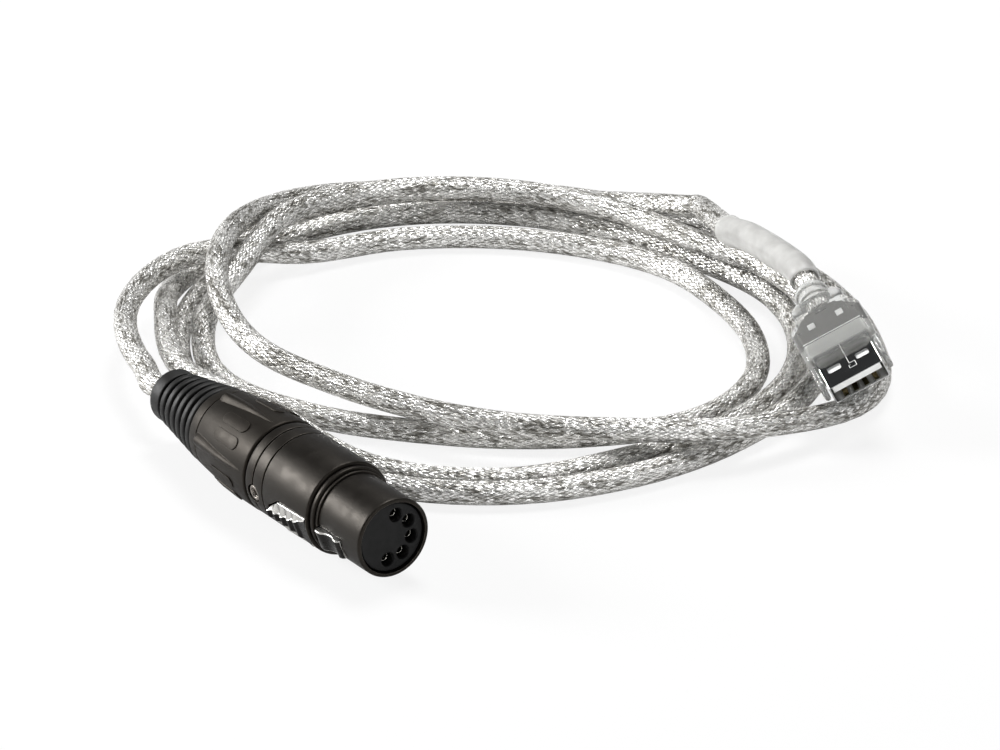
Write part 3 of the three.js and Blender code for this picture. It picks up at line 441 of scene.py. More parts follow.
def tube_tree(name, material):
    tree, given = geometry_tree(name, {"Radius": MM, "Sides": CABLE_SIDES})

    def stored(geometry, label, measure):
        value = put(tree, "GeometryNodeSplineParameter").outputs[measure]
        return put(tree, "GeometryNodeStoreNamedAttribute", {"Geometry": geometry, "Name": label, "Value": value},
                   data_type="FLOAT", domain="POINT").outputs["Geometry"]

    circle = put(tree, "GeometryNodeCurvePrimitiveCircle", {"Resolution": given["Sides"], "Radius": given["Radius"]})
    swept = put(tree, "GeometryNodeCurveToMesh", {
        "Curve": stored(given["Geometry"], "along", "Length"),
        "Profile Curve": stored(circle.outputs["Curve"], "around", "Factor"), "Fill Caps": True})
    real = put(tree, "GeometryNodeRealizeInstances", {"Geometry": swept.outputs["Mesh"]})
    smooth = put(tree, "GeometryNodeSetShadeSmooth", {"Geometry": real.outputs["Geometry"]})
    return finished(tree, smooth.outputs["Geometry"], material)


def corner_turns(mesh):
    """Store the share of a turn per face corner, so that it never runs backwards."""
    values = [d.value for d in mesh.attributes["around"].data]
    mesh.attributes.remove(mesh.attributes["around"])
    corner = mesh.attributes.new("around", "FLOAT", "CORNER")
    for face in mesh.polygons:
        found = [values[mesh.loops[i].vertex_index] for i in face.loop_indices]
        wraps = max(found) - min(found) > 0.5 and len(found) == 4
        for i, value in zip(face.loop_indices, found):
            corner.data[i].value = value + 1 if wraps and value < 0.5 else value


cable = grown("braided_cable", line_object("cable_line", route), tube_tree("cable_tube", cable_material),
              cable_material, {"Radius": CABLE_DIAMETER / 2 * MM})
corner_turns(cable.data)
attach(cable, "connector")
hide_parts("cable_lead", "cable_coil", "cable_tail", "cable_plug_end")

# %% [markdown]
# ## Turned and moulded forms
# Most of the connector was turned on a lathe, so it is one outline spun about
# the long axis. The outline is closed, and each of its corners may be rounded,
# because a real edge is never sharp: the small round is what catches the light.
# Slots and holes are cut afterwards with exact booleans. Faces that meet at a
# small angle shade smoothly, and the rest stay crisp.

# %% Lathe and cutting helpers
ROUND_SIDES = 128
SHARP = radians(32)


def rounded(outline, steps=4):
    """Corners are (along, out) or (along, out, rounding), in mm."""
    line = []
    for i, corner in enumerate(outline):
        here = Vector(corner[:2])
        if len(corner) < 3:
            line.append(tuple(here))
            continue
        before = Vector(outline[i - 1][:2]) - here
        after = Vector(outline[(i + 1) % len(outline)][:2]) - here
        a = here + before.normalized() * min(corner[2], before.length * 0.45)
        b = here + after.normalized() * min(corner[2], after.length * 0.45)
        for k in range(steps + 1):
            t = k / steps
            line.append(tuple(a * (1 - t) ** 2 + here * 2 * t * (1 - t) + b * t * t))
    return line


def from_rings(name, rings, closed=False):
    """Faces between rings of points in mm; a closed list joins its last ring to its first."""
    bm = bmesh.new()
    made = [[bm.verts.new(Vector(p) * MM) for p in ring] for ring in rings]
    for one, two in zip(made, made[1:] + made[:1] if closed else made[1:]):
        count = max(len(one), len(two))
        for j in range(count):
            k = (j + 1) % count
            loop = [one[j % len(one)], one[k % len(one)], two[k % len(two)], two[j % len(two)]]
            loop = list(dict.fromkeys(loop))
            if len(loop) > 2:
                bm.faces.new(loop)
    if not closed:
        bm.faces.new(made[0])
        bm.faces.new(made[-1])
    bmesh.ops.remove_doubles(bm, verts=bm.verts, dist=1e-7)
    bmesh.ops.recalc_face_normals(bm, faces=bm.faces)
    mesh = bpy.data.meshes.new(name)
    bm.to_mesh(mesh)
    bm.free()
    return link(bpy.data.objects.new(name, mesh))


def turned(name, outline, sides=ROUND_SIDES):
    rings = []
    for x, r in rounded(outline):
        if r < 1e-6:
            rings.append([(x, 0, 0)])
        else:
            rings.append([(x, r * cos(2 * pi * j / sides), r * sin(2 * pi * j / sides)) for j in range(sides)])
    return from_rings(name, rings, closed=True)


def placed(obj, matrix):
    obj.data.transform(matrix)
    return obj


def rod(radius, start, end, sides=48):
    return turned("rod", [(start, 0), (start, radius), (end, radius), (end, 0)], sides)


def brick(x0, x1, y0, y1, z0, z1):
    square = [(y0, z0), (y1, z0), (y1, z1), (y0, z1)]
    return from_rings("brick", [[(x, y, z) for y, z in square] for x in (x0, x1)])


def slab(outline, low, high, across="Z"):
    """A flat outline given a thickness; across names the axis that the thickness runs along."""
    flat = rounded(outline)
    return from_rings("slab", [[(a, h, b) if across == "Y" else (a, b, h) for a, b in flat] for h in (low, high)])


def carved(base, tools, operation="DIFFERENCE"):
    for tool in tools:
        cut = base.modifiers.new("carve", "BOOLEAN")
        cut.operation = operation
        cut.solver = "EXACT"
        cut.object = tool
    mesh = evaluated_mesh(base)
    for obj in (base, *tools):
        bpy.data.objects.remove(obj)
    return link(bpy.data.objects.new("carved", mesh))


def softened(obj, width):
    bevel = obj.modifiers.new("soften", "BEVEL")
    bevel.width = width * MM
    bevel.segments = 3
    bevel.limit_method = "ANGLE"
    bevel.angle_limit = SHARP
    return obj


def shown(name, obj, material, place, body="connector", nodes=(), sharp=SHARP):
    """The last step of each piece: its shading, its place, its body and what it stands for."""
    obj = settled(name, obj, material, place)
    obj.data.shade_smooth()
    obj.data.set_sharp_from_angle(angle=sharp)
    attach(obj, body)
    if nodes:
        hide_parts(*nodes)
    return obj


# %% [markdown]
# ## The connector's surfaces
# The barrel and its nose are metal with a dark, warm plating blasted to a satin.
# The back nut is moulded plastic of nearly the same tone, and the boot is
# rubber, duller and blacker. All three are almost black, so what tells them
# apart is their gloss and the size of their grain.

# %% Connector materials
# The light edge colour of the plating is partly wear and partly a painted highlight along the nose's rim and the
# step edges.
plated_black = varied(
    "satin_black_plating", (0.0035, 0.003, 0.0024), (0.006, 0.005, 0.0042), (0.38, 0.48), drift=120, grain=5200,
    edge_wear_and_highlight=(0.34, 0.31, 0.27), rounding=0.15, Specular_Tint=(1.0, 0.88, 0.74, 1), Specular_IOR_Level=0.25)
nut_plastic = varied(
    "dark_nut_plastic", (0.0035, 0.003, 0.0024), (0.0065, 0.0055, 0.0045), (0.44, 0.54), drift=110, grain=4200,
    edge_wear_and_highlight=(0.07, 0.06, 0.05), rounding=0.25, Specular_Tint=(1.0, 0.86, 0.70, 1), Specular_IOR_Level=0.24)
boot_rubber = varied(
    "dull_boot_rubber", (0.003, 0.0028, 0.0025), (0.006, 0.0055, 0.005), (0.48, 0.6), drift=160, grain=2400,
    edge_wear_and_highlight=(0.02, 0.018, 0.016), rounding=0.2, Specular_IOR_Level=0.35)
insert_plastic = varied(
    "black_insert_plastic", (0.0015, 0.0015, 0.0015), (0.003, 0.003, 0.003), (0.5, 0.65), drift=200, depth=0.012,
    edge_wear_and_highlight=(0.008, 0.008, 0.008), Specular_IOR_Level=0.25)
# The near-white edge colour of the latch is partly wear and partly a painted highlight.
latch_nickel = varied(
    "satin_latch_nickel", (0.44, 0.43, 0.41), (0.60, 0.59, 0.56), (0.22, 0.34), 1.0, drift=240, depth=0.01,
    edge_wear_and_highlight=(0.9, 0.9, 0.88), stretch=(0.15, 1, 1))
screw_steel = varied(
    "dull_screw_steel", (0.20, 0.18, 0.16), (0.36, 0.33, 0.30), (0.3, 0.5), 1.0, drift=400, grain=3000, depth=0.01,
    edge_wear_and_highlight=(0.6, 0.58, 0.54))
socket_metal = varied(
    "bright_socket_plating", (0.40, 0.38, 0.34), (0.62, 0.60, 0.55), (0.12, 0.24), 1.0, drift=500, grain=4000,
    depth=0.006, stretch=(1, 0.2, 0.2))
pad_plastic = varied(
    "lighter_pad_plastic", (0.005, 0.0042, 0.0034), (0.009, 0.0076, 0.0062), (0.44, 0.54), drift=140, grain=4200,
    edge_wear_and_highlight=(0.14, 0.125, 0.105), Specular_Tint=(1.0, 0.86, 0.70, 1), Specular_IOR_Level=0.24)


def paint_shade(material, attribute, dark):
    """Faces that an attribute marks are coloured dark: painted shade."""
    tree = material.node_tree
    base = tree.nodes["Principled BSDF"].inputs["Base Color"]
    tree.links.new(blend(tree, attribute_of(tree, attribute), base.links[0].from_socket, (*dark, 1)), base)


# The ridges' tops and the hook's hollow are coloured dark: painted shade.
paint_shade(latch_nickel, "painted_shade", (0.02, 0.019, 0.018))

# %% [markdown]
# ## Barrel and nose
# One turned wall: a rounded start, two thin grooves, the long barrel, two steps
# with shadow lines between them, and the thin nose with its rim, whose light edge
# is partly wear and partly a painted highlight. The latch lies in a slot and its
# hook in another, the pin has its own pocket, and a round hole at the side holds
# the lock screw.

# %% Barrel piece
CHANNEL_FLOOR = 4.6497
BARREL = [
    (33.0, 7.7), (33.0, 8.5), (40.9, 8.5), (40.9, 9.5, 0.7),
    (43.4, 9.5, 0.06), (43.45, 9.15), (43.8, 9.15), (43.85, 9.5, 0.06),
    (46.7, 9.5, 0.06), (46.75, 9.15), (47.1, 9.15), (47.15, 9.5, 0.06),
    (62.2, 9.5, 0.4), (62.2, 8.5), (62.5, 8.5), (62.6, 8.9, 0.12), (63.5, 8.9, 0.3),
    (63.5, 8.1), (63.75, 8.1), (63.82, 8.4, 0.1), (64.3, 8.4, 0.15), (64.3, 7.8), (64.5, 7.8),
    (64.58, 8.0, 0.08), (77.6, 8.0, 0.55), (77.6, 7.2, 0.12), (62.2, 7.2), (62.2, 7.7),
]
SLOT = [(48.7, -1.5, 0.3), (52.6, -3.8, 0.3), (61.9, -3.8, 0.3),
        (61.9, 3.8, 0.3), (52.6, 3.8, 0.3), (48.7, 1.5, 0.3)]
PIN_AT, PIN_HEIGHT, PIN_HALF = 47.2, 5.8497, 5.6
SCREW_AT, SCREW_ANGLE = 43.7, 79
radial = Matrix.Rotation(radians(SCREW_ANGLE), 4, "X") @ Matrix.Rotation(radians(90), 4, "Z")
screw_seat = Matrix.Translation((SCREW_AT * MM, 0, 0)) @ radial
sideways = Matrix.Translation((PIN_AT * MM, 0, PIN_HEIGHT * MM)) @ Matrix.Rotation(radians(90), 4, "Z")

barrel = carved(turned("barrel_wall", BARREL), [
    slab(SLOT, CHANNEL_FLOOR, 11),
    softened(brick(63.9, 71.9, -2.55, 2.55, CHANNEL_FLOOR, 11), 0.3),
    placed(rod(0.8, -PIN_HALF - FIT, PIN_HALF + FIT), sideways),
    placed(rod(1.9, 5.9, 11), screw_seat),
])
shown("barrel", barrel, plated_black, connector_place, nodes=["connector_shell"])

# %% [markdown]
# ## Back nut
# The nut is one turned cone with a collar. Five fins stand on it for the
# fingers: each starts high and blunt at the collar, is rounded on top, and runs
# out to a point before the front band. Between the fins lie pairs of slightly
# raised pads. They repeat by a rule, so they are placed by a geometry tree: a
# pad is modelled once, bent over the cone.

# %% Nut piece
PANELS, PANEL_ANGLE = 5, 25
NUT = [
    (18.8, 6.5), (18.8, 8.1, 0.3), (21.55, 8.46, 0.08), (21.6, 8.2), (21.8, 8.2), (21.86, 8.51, 0.08),
    (30.4, 9.45, 2.0), (34.4, 9.6, 1.0), (40.6, 9.6, 0.5), (40.6, 8.8), (32.7, 8.8), (32.7, 6.5),
]
CONE = [(21.7, 8.5), (30.4, 9.45), (34.4, 9.6), (40.6, 9.6)]
FIN_START, FIN_END, FIN_HALF, FIN_RISE, FIN_DEPTH = 21.9, 39.2, 1.6, 0.95, 0.8


def cone_radius(x):
    for (a, ra), (b, rb) in zip(CONE, CONE[1:]):
        if x <= b:
            return ra + (rb - ra) * (x - a) / (b - a)


def fin_section(share):
    x = FIN_START + (FIN_END - FIN_START) * share
    slim = max(1 - share, 0.001) ** 0.7
    blunt = min(1, 0.55 + share * 14)
    half = FIN_HALF * slim * min(1, 0.8 + share * 3)
    ring = [(x, -half, cone_radius(x) - FIN_DEPTH)]
    for k in range(17):
        across = -1 + k / 8
        rise = FIN_RISE * slim * blunt * (1 - abs(across) ** 1.7)
        ring.append((x, across * half, (cone_radius(x) ** 2 - (across * half) ** 2) ** 0.5 - 0.02 + rise))
    return ring + [(x, half, cone_radius(x) - FIN_DEPTH)]


fins = []
for i in range(PANELS):
    turn = Matrix.Rotation(radians(PANEL_ANGLE + (i + 0.5) * 360 / PANELS - 90), 4, "X")
    fins.append(placed(from_rings("fin", [fin_section(k / 60) for k in range(60)]), turn))
nut = carved(turned("nut_wall", NUT), fins, "UNION")
shown("back_nut", nut, nut_plastic, connector_place, nodes=["boot_nut"])

# %% Grip pads by a geometry tree
PAD_LENGTH, PAD_WIDTH, PAD_SPACING, PAD_AT, PAD_RISE = 8.4, 2.6, 3.75, 32.0, 0.24
PAD_RINGS = [(1, -4), (1, -0.2), (0.985, 0.5), (0.95, 0.9), (0.6, 1), (0.2, 1)]


def pad_mesh():
    """Rings from the foot of a pad to its top; each is a share of the width and of the rise."""
    half = PAD_WIDTH / 2
    straight = PAD_LENGTH / 2 - half
    outline = []
    for end in (1, -1):
        for k in range(15):
            angle = -pi / 2 + pi * k / 14
            outline.append((end * (straight + half * cos(angle)), end * half * sin(angle)))
    rings = []
    for share, rise in PAD_RINGS:
        inset = half * (1 - share)
        ring = []
        for x, w in outline:
            at = PAD_AT + x * (PAD_LENGTH / 2 - inset) / (PAD_LENGTH / 2)
            radius = cone_radius(at) + rise * PAD_RISE
            swing = w * (half - inset) / half / cone_radius(PAD_AT)
            ring.append((at, -radius * sin(swing), radius * cos(swing)))
        rings.append(ring)
    return from_rings("one_pad", rings)


def copies_tree(name, material, sizes, rule):
    """Copies of one piece; the rule makes each copy's place, turn and scale from its number."""
    tree, given = geometry_tree(name, sizes)
    laid = rule(tree, given, put(tree, "GeometryNodeInputIndex").outputs[0])
    points = put(tree, "GeometryNodePoints", {"Count": given["Count"], "Position": laid.pop("Position", (0, 0, 0))})
    copies = put(tree, "GeometryNodeInstanceOnPoints",
                 {"Points": points.outputs[0], "Instance": given["Geometry"], **laid})
    real = put(tree, "GeometryNodeRealizeInstances", {"Geometry": copies.outputs["Instances"]})
    return finished(tree, real.outputs["Geometry"], material)


def around_axis_tree(name, material, count, first, step, pair=0.0):
    """Copies turned about X: in pairs when the pair angle isn't zero."""
    def rule(tree, given, index):
        group = calc(tree, "FLOOR", calc(tree, "DIVIDE", index, 2.0 if pair else 1.0))
        side = calc(tree, "MULTIPLY_ADD", calc(tree, "MODULO", index, 2.0), 2.0, -1.0)
        angle = calc(tree, "MULTIPLY_ADD", group, given["Step"], given["First"])
        angle = calc(tree, "MULTIPLY_ADD", side, given["Pair"], angle)
        return {"Rotation": put(tree, "FunctionNodeEulerToRotation", {"Euler": vector(tree, angle)}).outputs[0]}
    return copies_tree(name, material, {"Count": count, "First": first, "Step": step, "Pair": pair}, rule)


pads_tree = around_axis_tree("grip_pads", pad_plastic, PANELS * 2, radians(PANEL_ANGLE - 90), 2 * pi / PANELS,
                             PAD_SPACING / 2 / cone_radius(PAD_AT))
pads = grown("grip_pads", pad_mesh(), pads_tree, pad_plastic)
shown("grip_pads", pads, pad_plastic, connector_place)

# %% [markdown]
# ## Boot
# The rubber boot has a plain ring at its tail and six ribs that grow towards the
# nut. The ribs are one ring repeated along the axis, each a little larger, and
# that is a rule again: the tree takes their count, pitch, first size and growth.
# Under them lies a plain turned cone, which shows only as dark lines.

# %% Boot pieces
BOOT_END, RIBS, RIB_PITCH, RIB_WIDTH = 18.5, 6, 2.5, 1.5
RIB_MIDDLE, RIB_FIRST, RIB_LAST, TAIL_RING = 7.0, 5.9, 8.0, 3.5
BOOT_CORE = [
    (0, 2.7, 0.15), (0, 5.5, 1.0), (TAIL_RING, 5.5, 0.35), (TAIL_RING, 4.9), (BOOT_END - RIB_PITCH, 6.6),
    (BOOT_END, 7.0), (BOOT_END, 6.2), (22.2, 6.2), (22.2, 2.7),
]


def ribs_rule(tree, given, index):
    at = calc(tree, "MULTIPLY_ADD", index, given["Pitch"], given["Start"])
    size = calc(tree, "MULTIPLY_ADD", index, given["Growth"], given["First"])
    return {"Position": vector(tree, at), "Scale": vector(tree, 1.0, size, size)}


shown("boot_core", turned("boot_core", BOOT_CORE), boot_rubber, connector_place, nodes=["boot_sleeve"])
rib = turned("one_rib", [(0, 5.5), (0, RIB_MIDDLE, 0.5), (RIB_WIDTH, RIB_MIDDLE, 0.5), (RIB_WIDTH, 5.5)])
ribs_tree = copies_tree("boot_ribs", boot_rubber, {
    "Count": RIBS, "Start": (TAIL_RING + RIB_PITCH - RIB_WIDTH) * MM, "Pitch": RIB_PITCH * MM,
    "First": RIB_FIRST / RIB_MIDDLE, "Growth": (RIB_LAST - RIB_FIRST) / (RIBS - 1) / RIB_MIDDLE}, ribs_rule)
ribs = grown("boot_ribs", rib, ribs_tree, boot_rubber)
shown("boot_ribs", ribs, boot_rubber, connector_place)

# %% [markdown]
# ## Contact insert and its sockets
# Behind the rim sits a black plastic insert with five holes. Each holds a plated
# socket whose front is split so that it can grip a pin, and its ring is all that
# catches light in there. The sockets stand on a circle at equal angles, so they
# are one more rule for the tree that turns copies about the axis.

# %% Insert and sockets
CONTACTS, CONTACT_CIRCLE, CONTACT_STEP, CONTACT_MIDDLE = 5, 4.5, 45, -123
contact_first = radians(CONTACT_MIDDLE - (CONTACTS - 1) / 2 * CONTACT_STEP)
holes = []
for i in range(CONTACTS):
    angle = contact_first + radians(i * CONTACT_STEP)
    shift = Matrix.Translation(Vector((0, CONTACT_CIRCLE * cos(angle), CONTACT_CIRCLE * sin(angle))) * MM)
    hole = turned("hole", [(56, 0), (56, 1.3), (76.8, 1.3), (77.3, 1.65), (77.3, 0)], 40)
    holes.append(placed(hole, shift))
shelf = brick(58.5, 63.1, -1.7, 1.7, CHANNEL_FLOOR - 1, CHANNEL_FLOOR)
channel = brick(61.3, 72.2, -2.55, 2.55, CHANNEL_FLOOR, 8.5)
body = turned("insert_body", [(62.8, 0), (62.8, 6.9), (77.1, 6.9, 0.3), (77.1, 0)])
face = carved(carved(body, [shelf], "UNION"), [channel, *holes])
shown("insert_face", face, insert_plastic, connector_place, nodes=["contact_insert"])

SOCKET = [
    (57.8, 0.65), (57.8, 1.0, 0.05), (75.6, 1.0, 0.3), (75.6, 0.72, 0.05),
    (68.1, 0.72), (68.1, 0), (60.3, 0), (60.3, 0.65),
]
socket = placed(turned("one_socket", SOCKET, 40), Matrix.Translation((0, CONTACT_CIRCLE * MM, 0)))
socket = carved(socket, [brick(71.5, 77.5, CONTACT_CIRCLE - 0.1, CONTACT_CIRCLE + 0.1, -2, 2)])
sockets_tree = around_axis_tree("socket_ring", socket_metal, CONTACTS, contact_first, radians(CONTACT_STEP))
sockets = grown("contact_sockets", socket, sockets_tree, socket_metal)
shown("contact_sockets", sockets, socket_metal, connector_place,
      nodes=[f"contact_{i + 1}" for i in range(CONTACTS)])

# %% [markdown]
# ## Lock screw and latch
# A small screw with a round head locks the insert. It is one lathe outline with
# a six-sided recess cut into it. The latch is a flat lever with a pad for the
# thumb, ridged so that it doesn't slip, and a hook that holds the other
# connector. The tops of the ridges and of the hook's hollow are marked and
# coloured dark: painted shade. It turns about its pin, so it rides on a body of
# its own.

# %% Screw piece
SCREW = [(7.7, 0), (7.7, 1.6), (9.25, 1.6, 0.3), (9.25, 1.05, 0.15), (8.95, 0.98), (8.95, 0)]
screw = carved(turned("screw_head", SCREW, 64), [rod(0.85, 8.5, 9.6, 6)])
shown("lock_screw", screw, screw_steel, connector_place @ screw_seat, nodes=["insert_screw"])

# %% Latch piece
PLATE_LOW, PLATE_HIGH, PLATE_HALF = 5.6497, 6.4497, 2.25
THUMB_START, THUMB_END, RIDGES = 49.0, 61.5, 4.5
HOOK = [
    (64.2, PLATE_LOW), (71.5, PLATE_LOW), (71.5, 8.2, 0.3), (70.4, 8.7, 0.5), (69.0, 8.1, 0.9), (67.2, 8.3, 0.9),
    (65.6, 9.1, 0.8), (64.2, 8.9, 0.4),
]


def ridge_half(share):
    """Half the width of the ridged strip: it widens from the tail to the front."""
    return 0.75 + 0.35 * share + 1.9 * share ** 3


def thumb_section(share):
    x = THUMB_START + (THUMB_END - THUMB_START) * share
    foot = min(3.5, 1.1 + 8.2 * share)
    wave = 0.5 - 0.5 * cos(2 * pi * RIDGES * min(share / 0.82, 1))
    high = 10.3 - 0.7 * share - 0.55 * wave * (1 - 0.3 * share)
    half = min(ridge_half(share) + 0.12 * wave, foot - 0.15)
    low = 9.05 - 0.35 * share
    side = [(foot, 6.05), (foot, low), (foot - 0.08, low + 0.14), (half + 0.16, high - 0.2), (half, high)]
    return [(x, y, z) for y, z in side] + [(x, -y, z) for y, z in reversed(side)]


thumb = from_rings("thumb", [thumb_section(k / 80) for k in range(81)])
lever = slab([(PIN_AT, PLATE_LOW), (71.6, PLATE_LOW), (71.6, PLATE_HIGH), (PIN_AT, PLATE_HIGH)],
             -PLATE_HALF, PLATE_HALF, across="Y")
hook = slab(HOOK, -PLATE_HALF, PLATE_HALF, across="Y")
eye = placed(rod(1.2, -PLATE_HALF, PLATE_HALF), sideways)
whole = carved(lever, [eye, thumb, softened(hook, 0.25)], "UNION")
whole = carved(whole, [placed(rod(0.8, -4, 4), sideways)])
# Faces marked here get the painted shade: the tops of the ridged strip and of the hook's hollow.
shade_marks = whole.data.attributes.new("painted_shade", "FLOAT", "FACE")
for face in whole.data.polygons:
    x, y, z = face.center / MM
    share = (x - THUMB_START) / (THUMB_END - THUMB_START)
    on_strip = 0 < share < 1 and abs(y) < ridge_half(share) and z > 8.9
    on_hook = x > 64 and z > 6.6 and abs(y) < 1.9
    shade_marks.data[face.index].value = 1.0 if face.normal.z > 0.3 and (on_strip or on_hook) else 0.0
shown("latch", whole, latch_nickel, connector_place, body="latch", nodes=["latch_lever"])

# %% [markdown]
# ## The plug's surfaces
# The plug shows four finishes at once. The mouth is bright plated sheet, almost
# a mirror, with faint smudges. Through the clear moulding one sees a darker
# shielding can. The moulding itself bends and softens what lies behind it, and
# its neck rings are milky because less light passes through them.

# %% Plug materials
# The white edges of the clear, milky and frosted plastic are a painted highlight.
PAINTED_EDGE_HIGHLIGHT = (1.0, 1.0, 0.99)
plug_plating = varied(
    "bright_plug_plating", (0.50, 0.50, 0.50), (0.60, 0.60, 0.59), (0.06, 0.16), 1.0, drift=130, grain=1500,
    depth=0.002, rounding=0.04)
can_plating = varied(
    "dark_can_plating", (0.05, 0.048, 0.04), (0.10, 0.096, 0.083), (0.34, 0.5), 0.4, drift=260, grain=1800,
    depth=0.008, edge_wear_and_highlight=(0.6, 0.6, 0.58), rounding=0.1)
pale_plating = varied(
    "pale_band_plating", (0.42, 0.42, 0.40), (0.58, 0.58, 0.56), (0.35, 0.5), 0.2, drift=200, grain=1800,
    depth=0.008, edge_wear_and_highlight=(0.9, 0.9, 0.88))
# Flat white for pieces that stand for light: the seam's painted highlight, the windows' painted light, and the
# painted highlights on the can's tabs and fold.
painted_light_white = varied(
    "white_painted_light", (0.93, 0.93, 0.92), (0.99, 0.99, 0.98), (0.3, 0.45), drift=500, grain=3000, depth=0.01)
tongue_plastic = varied(
    "pale_tongue_plastic", (0.90, 0.90, 0.87), (0.97, 0.97, 0.95), (0.4, 0.55), drift=200, grain=2000, depth=0.006)
# The gold is coloured far darker than gold: painted shade for the dark mouth the contacts sit in.
shaded_gold_contact = varied(
    "gold_contact_painted_shade", (0.22, 0.17, 0.08), (0.30, 0.24, 0.12), (0.3, 0.42), 1.0, drift=400, grain=2400,
    depth=0.004)
clear_plastic = varied(
    "clear_plug_moulding", (0.86, 0.865, 0.85), (0.96, 0.965, 0.95), (0.05, 0.13), drift=220, grain=420,
    depth=0.012, edge_wear_and_highlight=PAINTED_EDGE_HIGHLIGHT, rounding=0.35, Transmission_Weight=0.85, IOR=1.36)
milky_plastic = varied(
    "milky_neck_plastic", (0.74, 0.74, 0.72), (0.95, 0.95, 0.93), (0.18, 0.34), drift=260, grain=900,
    depth=0.015, edge_wear_and_highlight=PAINTED_EDGE_HIGHLIGHT, rounding=0.2, Transmission_Weight=0.4, IOR=1.36)
frosted_plastic = varied(
    "frosted_sleeve_plastic", (0.50, 0.495, 0.475), (0.98, 0.975, 0.955), (0.34, 0.5), drift=330, grain=900,
    depth=0.03, edge_wear_and_highlight=PAINTED_EDGE_HIGHLIGHT, rounding=0.4, Transmission_Weight=0.4, IOR=1.33)

# %% [markdown]
# ## Sleeve over the cable's end
# A frosted soft sleeve is pushed over the cable behind the plug. It follows the
# same route as the cable, but with a wall: its outline is the cut through a tube
# with rounded ends, and a ring is laid across the line at each point of it. The
# sleeve stops a little before the neck, where the cable shows again.

# %% Sleeve piece
SLEEVE_OUTER, SLEEVE_INNER, SLEEVE_ROUND = 3.1, 2.55, 0.22
SLEEVE_SHORT, SLEEVE_STEPS, SLEEVE_SIDES = 3.2, 44, 56


def point_on(line, at):
    """The place and the direction at a length along a line."""
    run = 0
    for a, b in zip(line, line[1:]):
        step = (b - a).length
        if at <= run + step:
            return a.lerp(b, (at - run) / max(step, 1e-9)), (b - a).normalized()
        run += step
    return line[-1], (line[-1] - line[-2]).normalized()


def sleeve_mesh(name, line):
    length = sum((b - a).length for a, b in zip(line, line[1:])) - SLEEVE_SHORT
    inner, outer, soft = SLEEVE_INNER, SLEEVE_OUTER, SLEEVE_ROUND
    wall = [length * k / SLEEVE_STEPS for k in range(1, SLEEVE_STEPS)]
    outline = [
        (0.05, inner + soft), (0.12, outer - soft * 0.5), (soft, outer), *[(x, outer) for x in wall],
        (length - soft, outer), (length - 0.12, outer - soft * 0.5), (length - 0.05, inner + soft),
        (length - soft, inner), *[(x, inner) for x in reversed(wall)], (soft, inner),
    ]
    rings = []
    for at, radius in outline:
        spot, way = point_on(line, at)
        aside = way.cross(Vector((0, 0, 1))).normalized()
        over = aside.cross(way)
        turns = [2 * pi * j / SLEEVE_SIDES for j in range(SLEEVE_SIDES)]
        rings.append([spot + (aside * cos(turn) + over * sin(turn)) * radius for turn in turns])
    return from_rings(name, rings, closed=True)


sleeve = shown("frosted_sleeve", sleeve_mesh("sleeve_wall", sleeve_line), frosted_plastic, field_place,
               nodes=["cable_sleeve"], sharp=radians(60))

# %% [markdown]
# ## Plated mouth of the plug
# The mouth is a sheet of metal folded into a box and closed by a seam. It is
# made of rounded rectangles joined ring to ring, outside and inside in one
# closed wall. Two windows are cut through it, and a fine groove is cut along
# the seam and round its small key. White plates sit just under the metal's face
# in the windows and in the groove, each a piece of its own: painted light. In
# the windows they stand for the lit plastic seen through them, and in the groove
# for the highlight on the seam's edge.

# %% Mouth piece
USB_WIDTH, USB_HEIGHT, USB_WALL, USB_LENGTH, USB_CORNER = 12.0, 4.5, 0.3, 12.5, 0.32
WINDOW_ASIDE, SEAM_WIDTH = 3.1, 0.13
SEAM = [[(-12.6, 0), (-3.9, 0)], [(-3.9, 0), (-3.9, 1.2), (-2.5, 1.2), (-2.5, -0.3), (-3.3, -0.3), (-3.3, 0)]]


def soft_ring(x, width, height, corner, steps=8):
    ring = []
    for quarter, (sy, sz) in enumerate(((1, 1), (-1, 1), (-1, -1), (1, -1))):
        for i in range(steps + 1):
            angle = (quarter + i / steps) * pi / 2
            ring.append((x, sy * (width / 2 - corner) + corner * cos(angle),
                         sz * (height / 2 - corner) + corner * sin(angle)))
    return ring


def boxy(name, rows, aside=0):
    """A solid through rounded rectangles, each (along, width, height, corner) in mm."""
    return from_rings(name, [[(x, y + aside, z) for x, y, z in soft_ring(*row)] for row in rows])


def box_ring(back, inset):
    return soft_ring(-back, USB_WIDTH - 2 * inset, USB_HEIGHT - 2 * inset, USB_CORNER - inset * 0.6)


def seam_piece(start, end):
    """The corners of one straight run of the seam, a little longer than the run itself."""
    a, b = Vector(start), Vector(end)
    way = (b - a).normalized() * SEAM_WIDTH / 2
    aside = Vector((-way.y, way.x))
    return [tuple(c) for c in (a - way + aside, a - way - aside, b + way - aside, b + way + aside)]


mouth_rings = [box_ring(*row) for row in (
    (USB_LENGTH, 0), (0.14, 0), (0.04, 0.04), (0, 0.1), (0, 0.2), (0.05, 0.27), (0.14, USB_WALL),
    (USB_LENGTH, USB_WALL))]
sides = [side * WINDOW_ASIDE for side in (-1, 1)]
windows = [slab([(-5.4, y - 1.4, 0.45), (-3.8, y - 1.4, 0.45), (-3.8, y + 1.4, 0.45), (-5.4, y + 1.4, 0.45)], -4, 4)
           for y in sides]
seams = [seam_piece(*ends) for run in SEAM for ends in zip(run, run[1:])]
mouth = carved(from_rings("mouth_wall", mouth_rings, closed=True), [*windows, *[slab(c, 2.16, 3) for c in seams]])
mouth = shown("plated_mouth", mouth, plug_plating, plug_place, nodes=["usb_shell"])
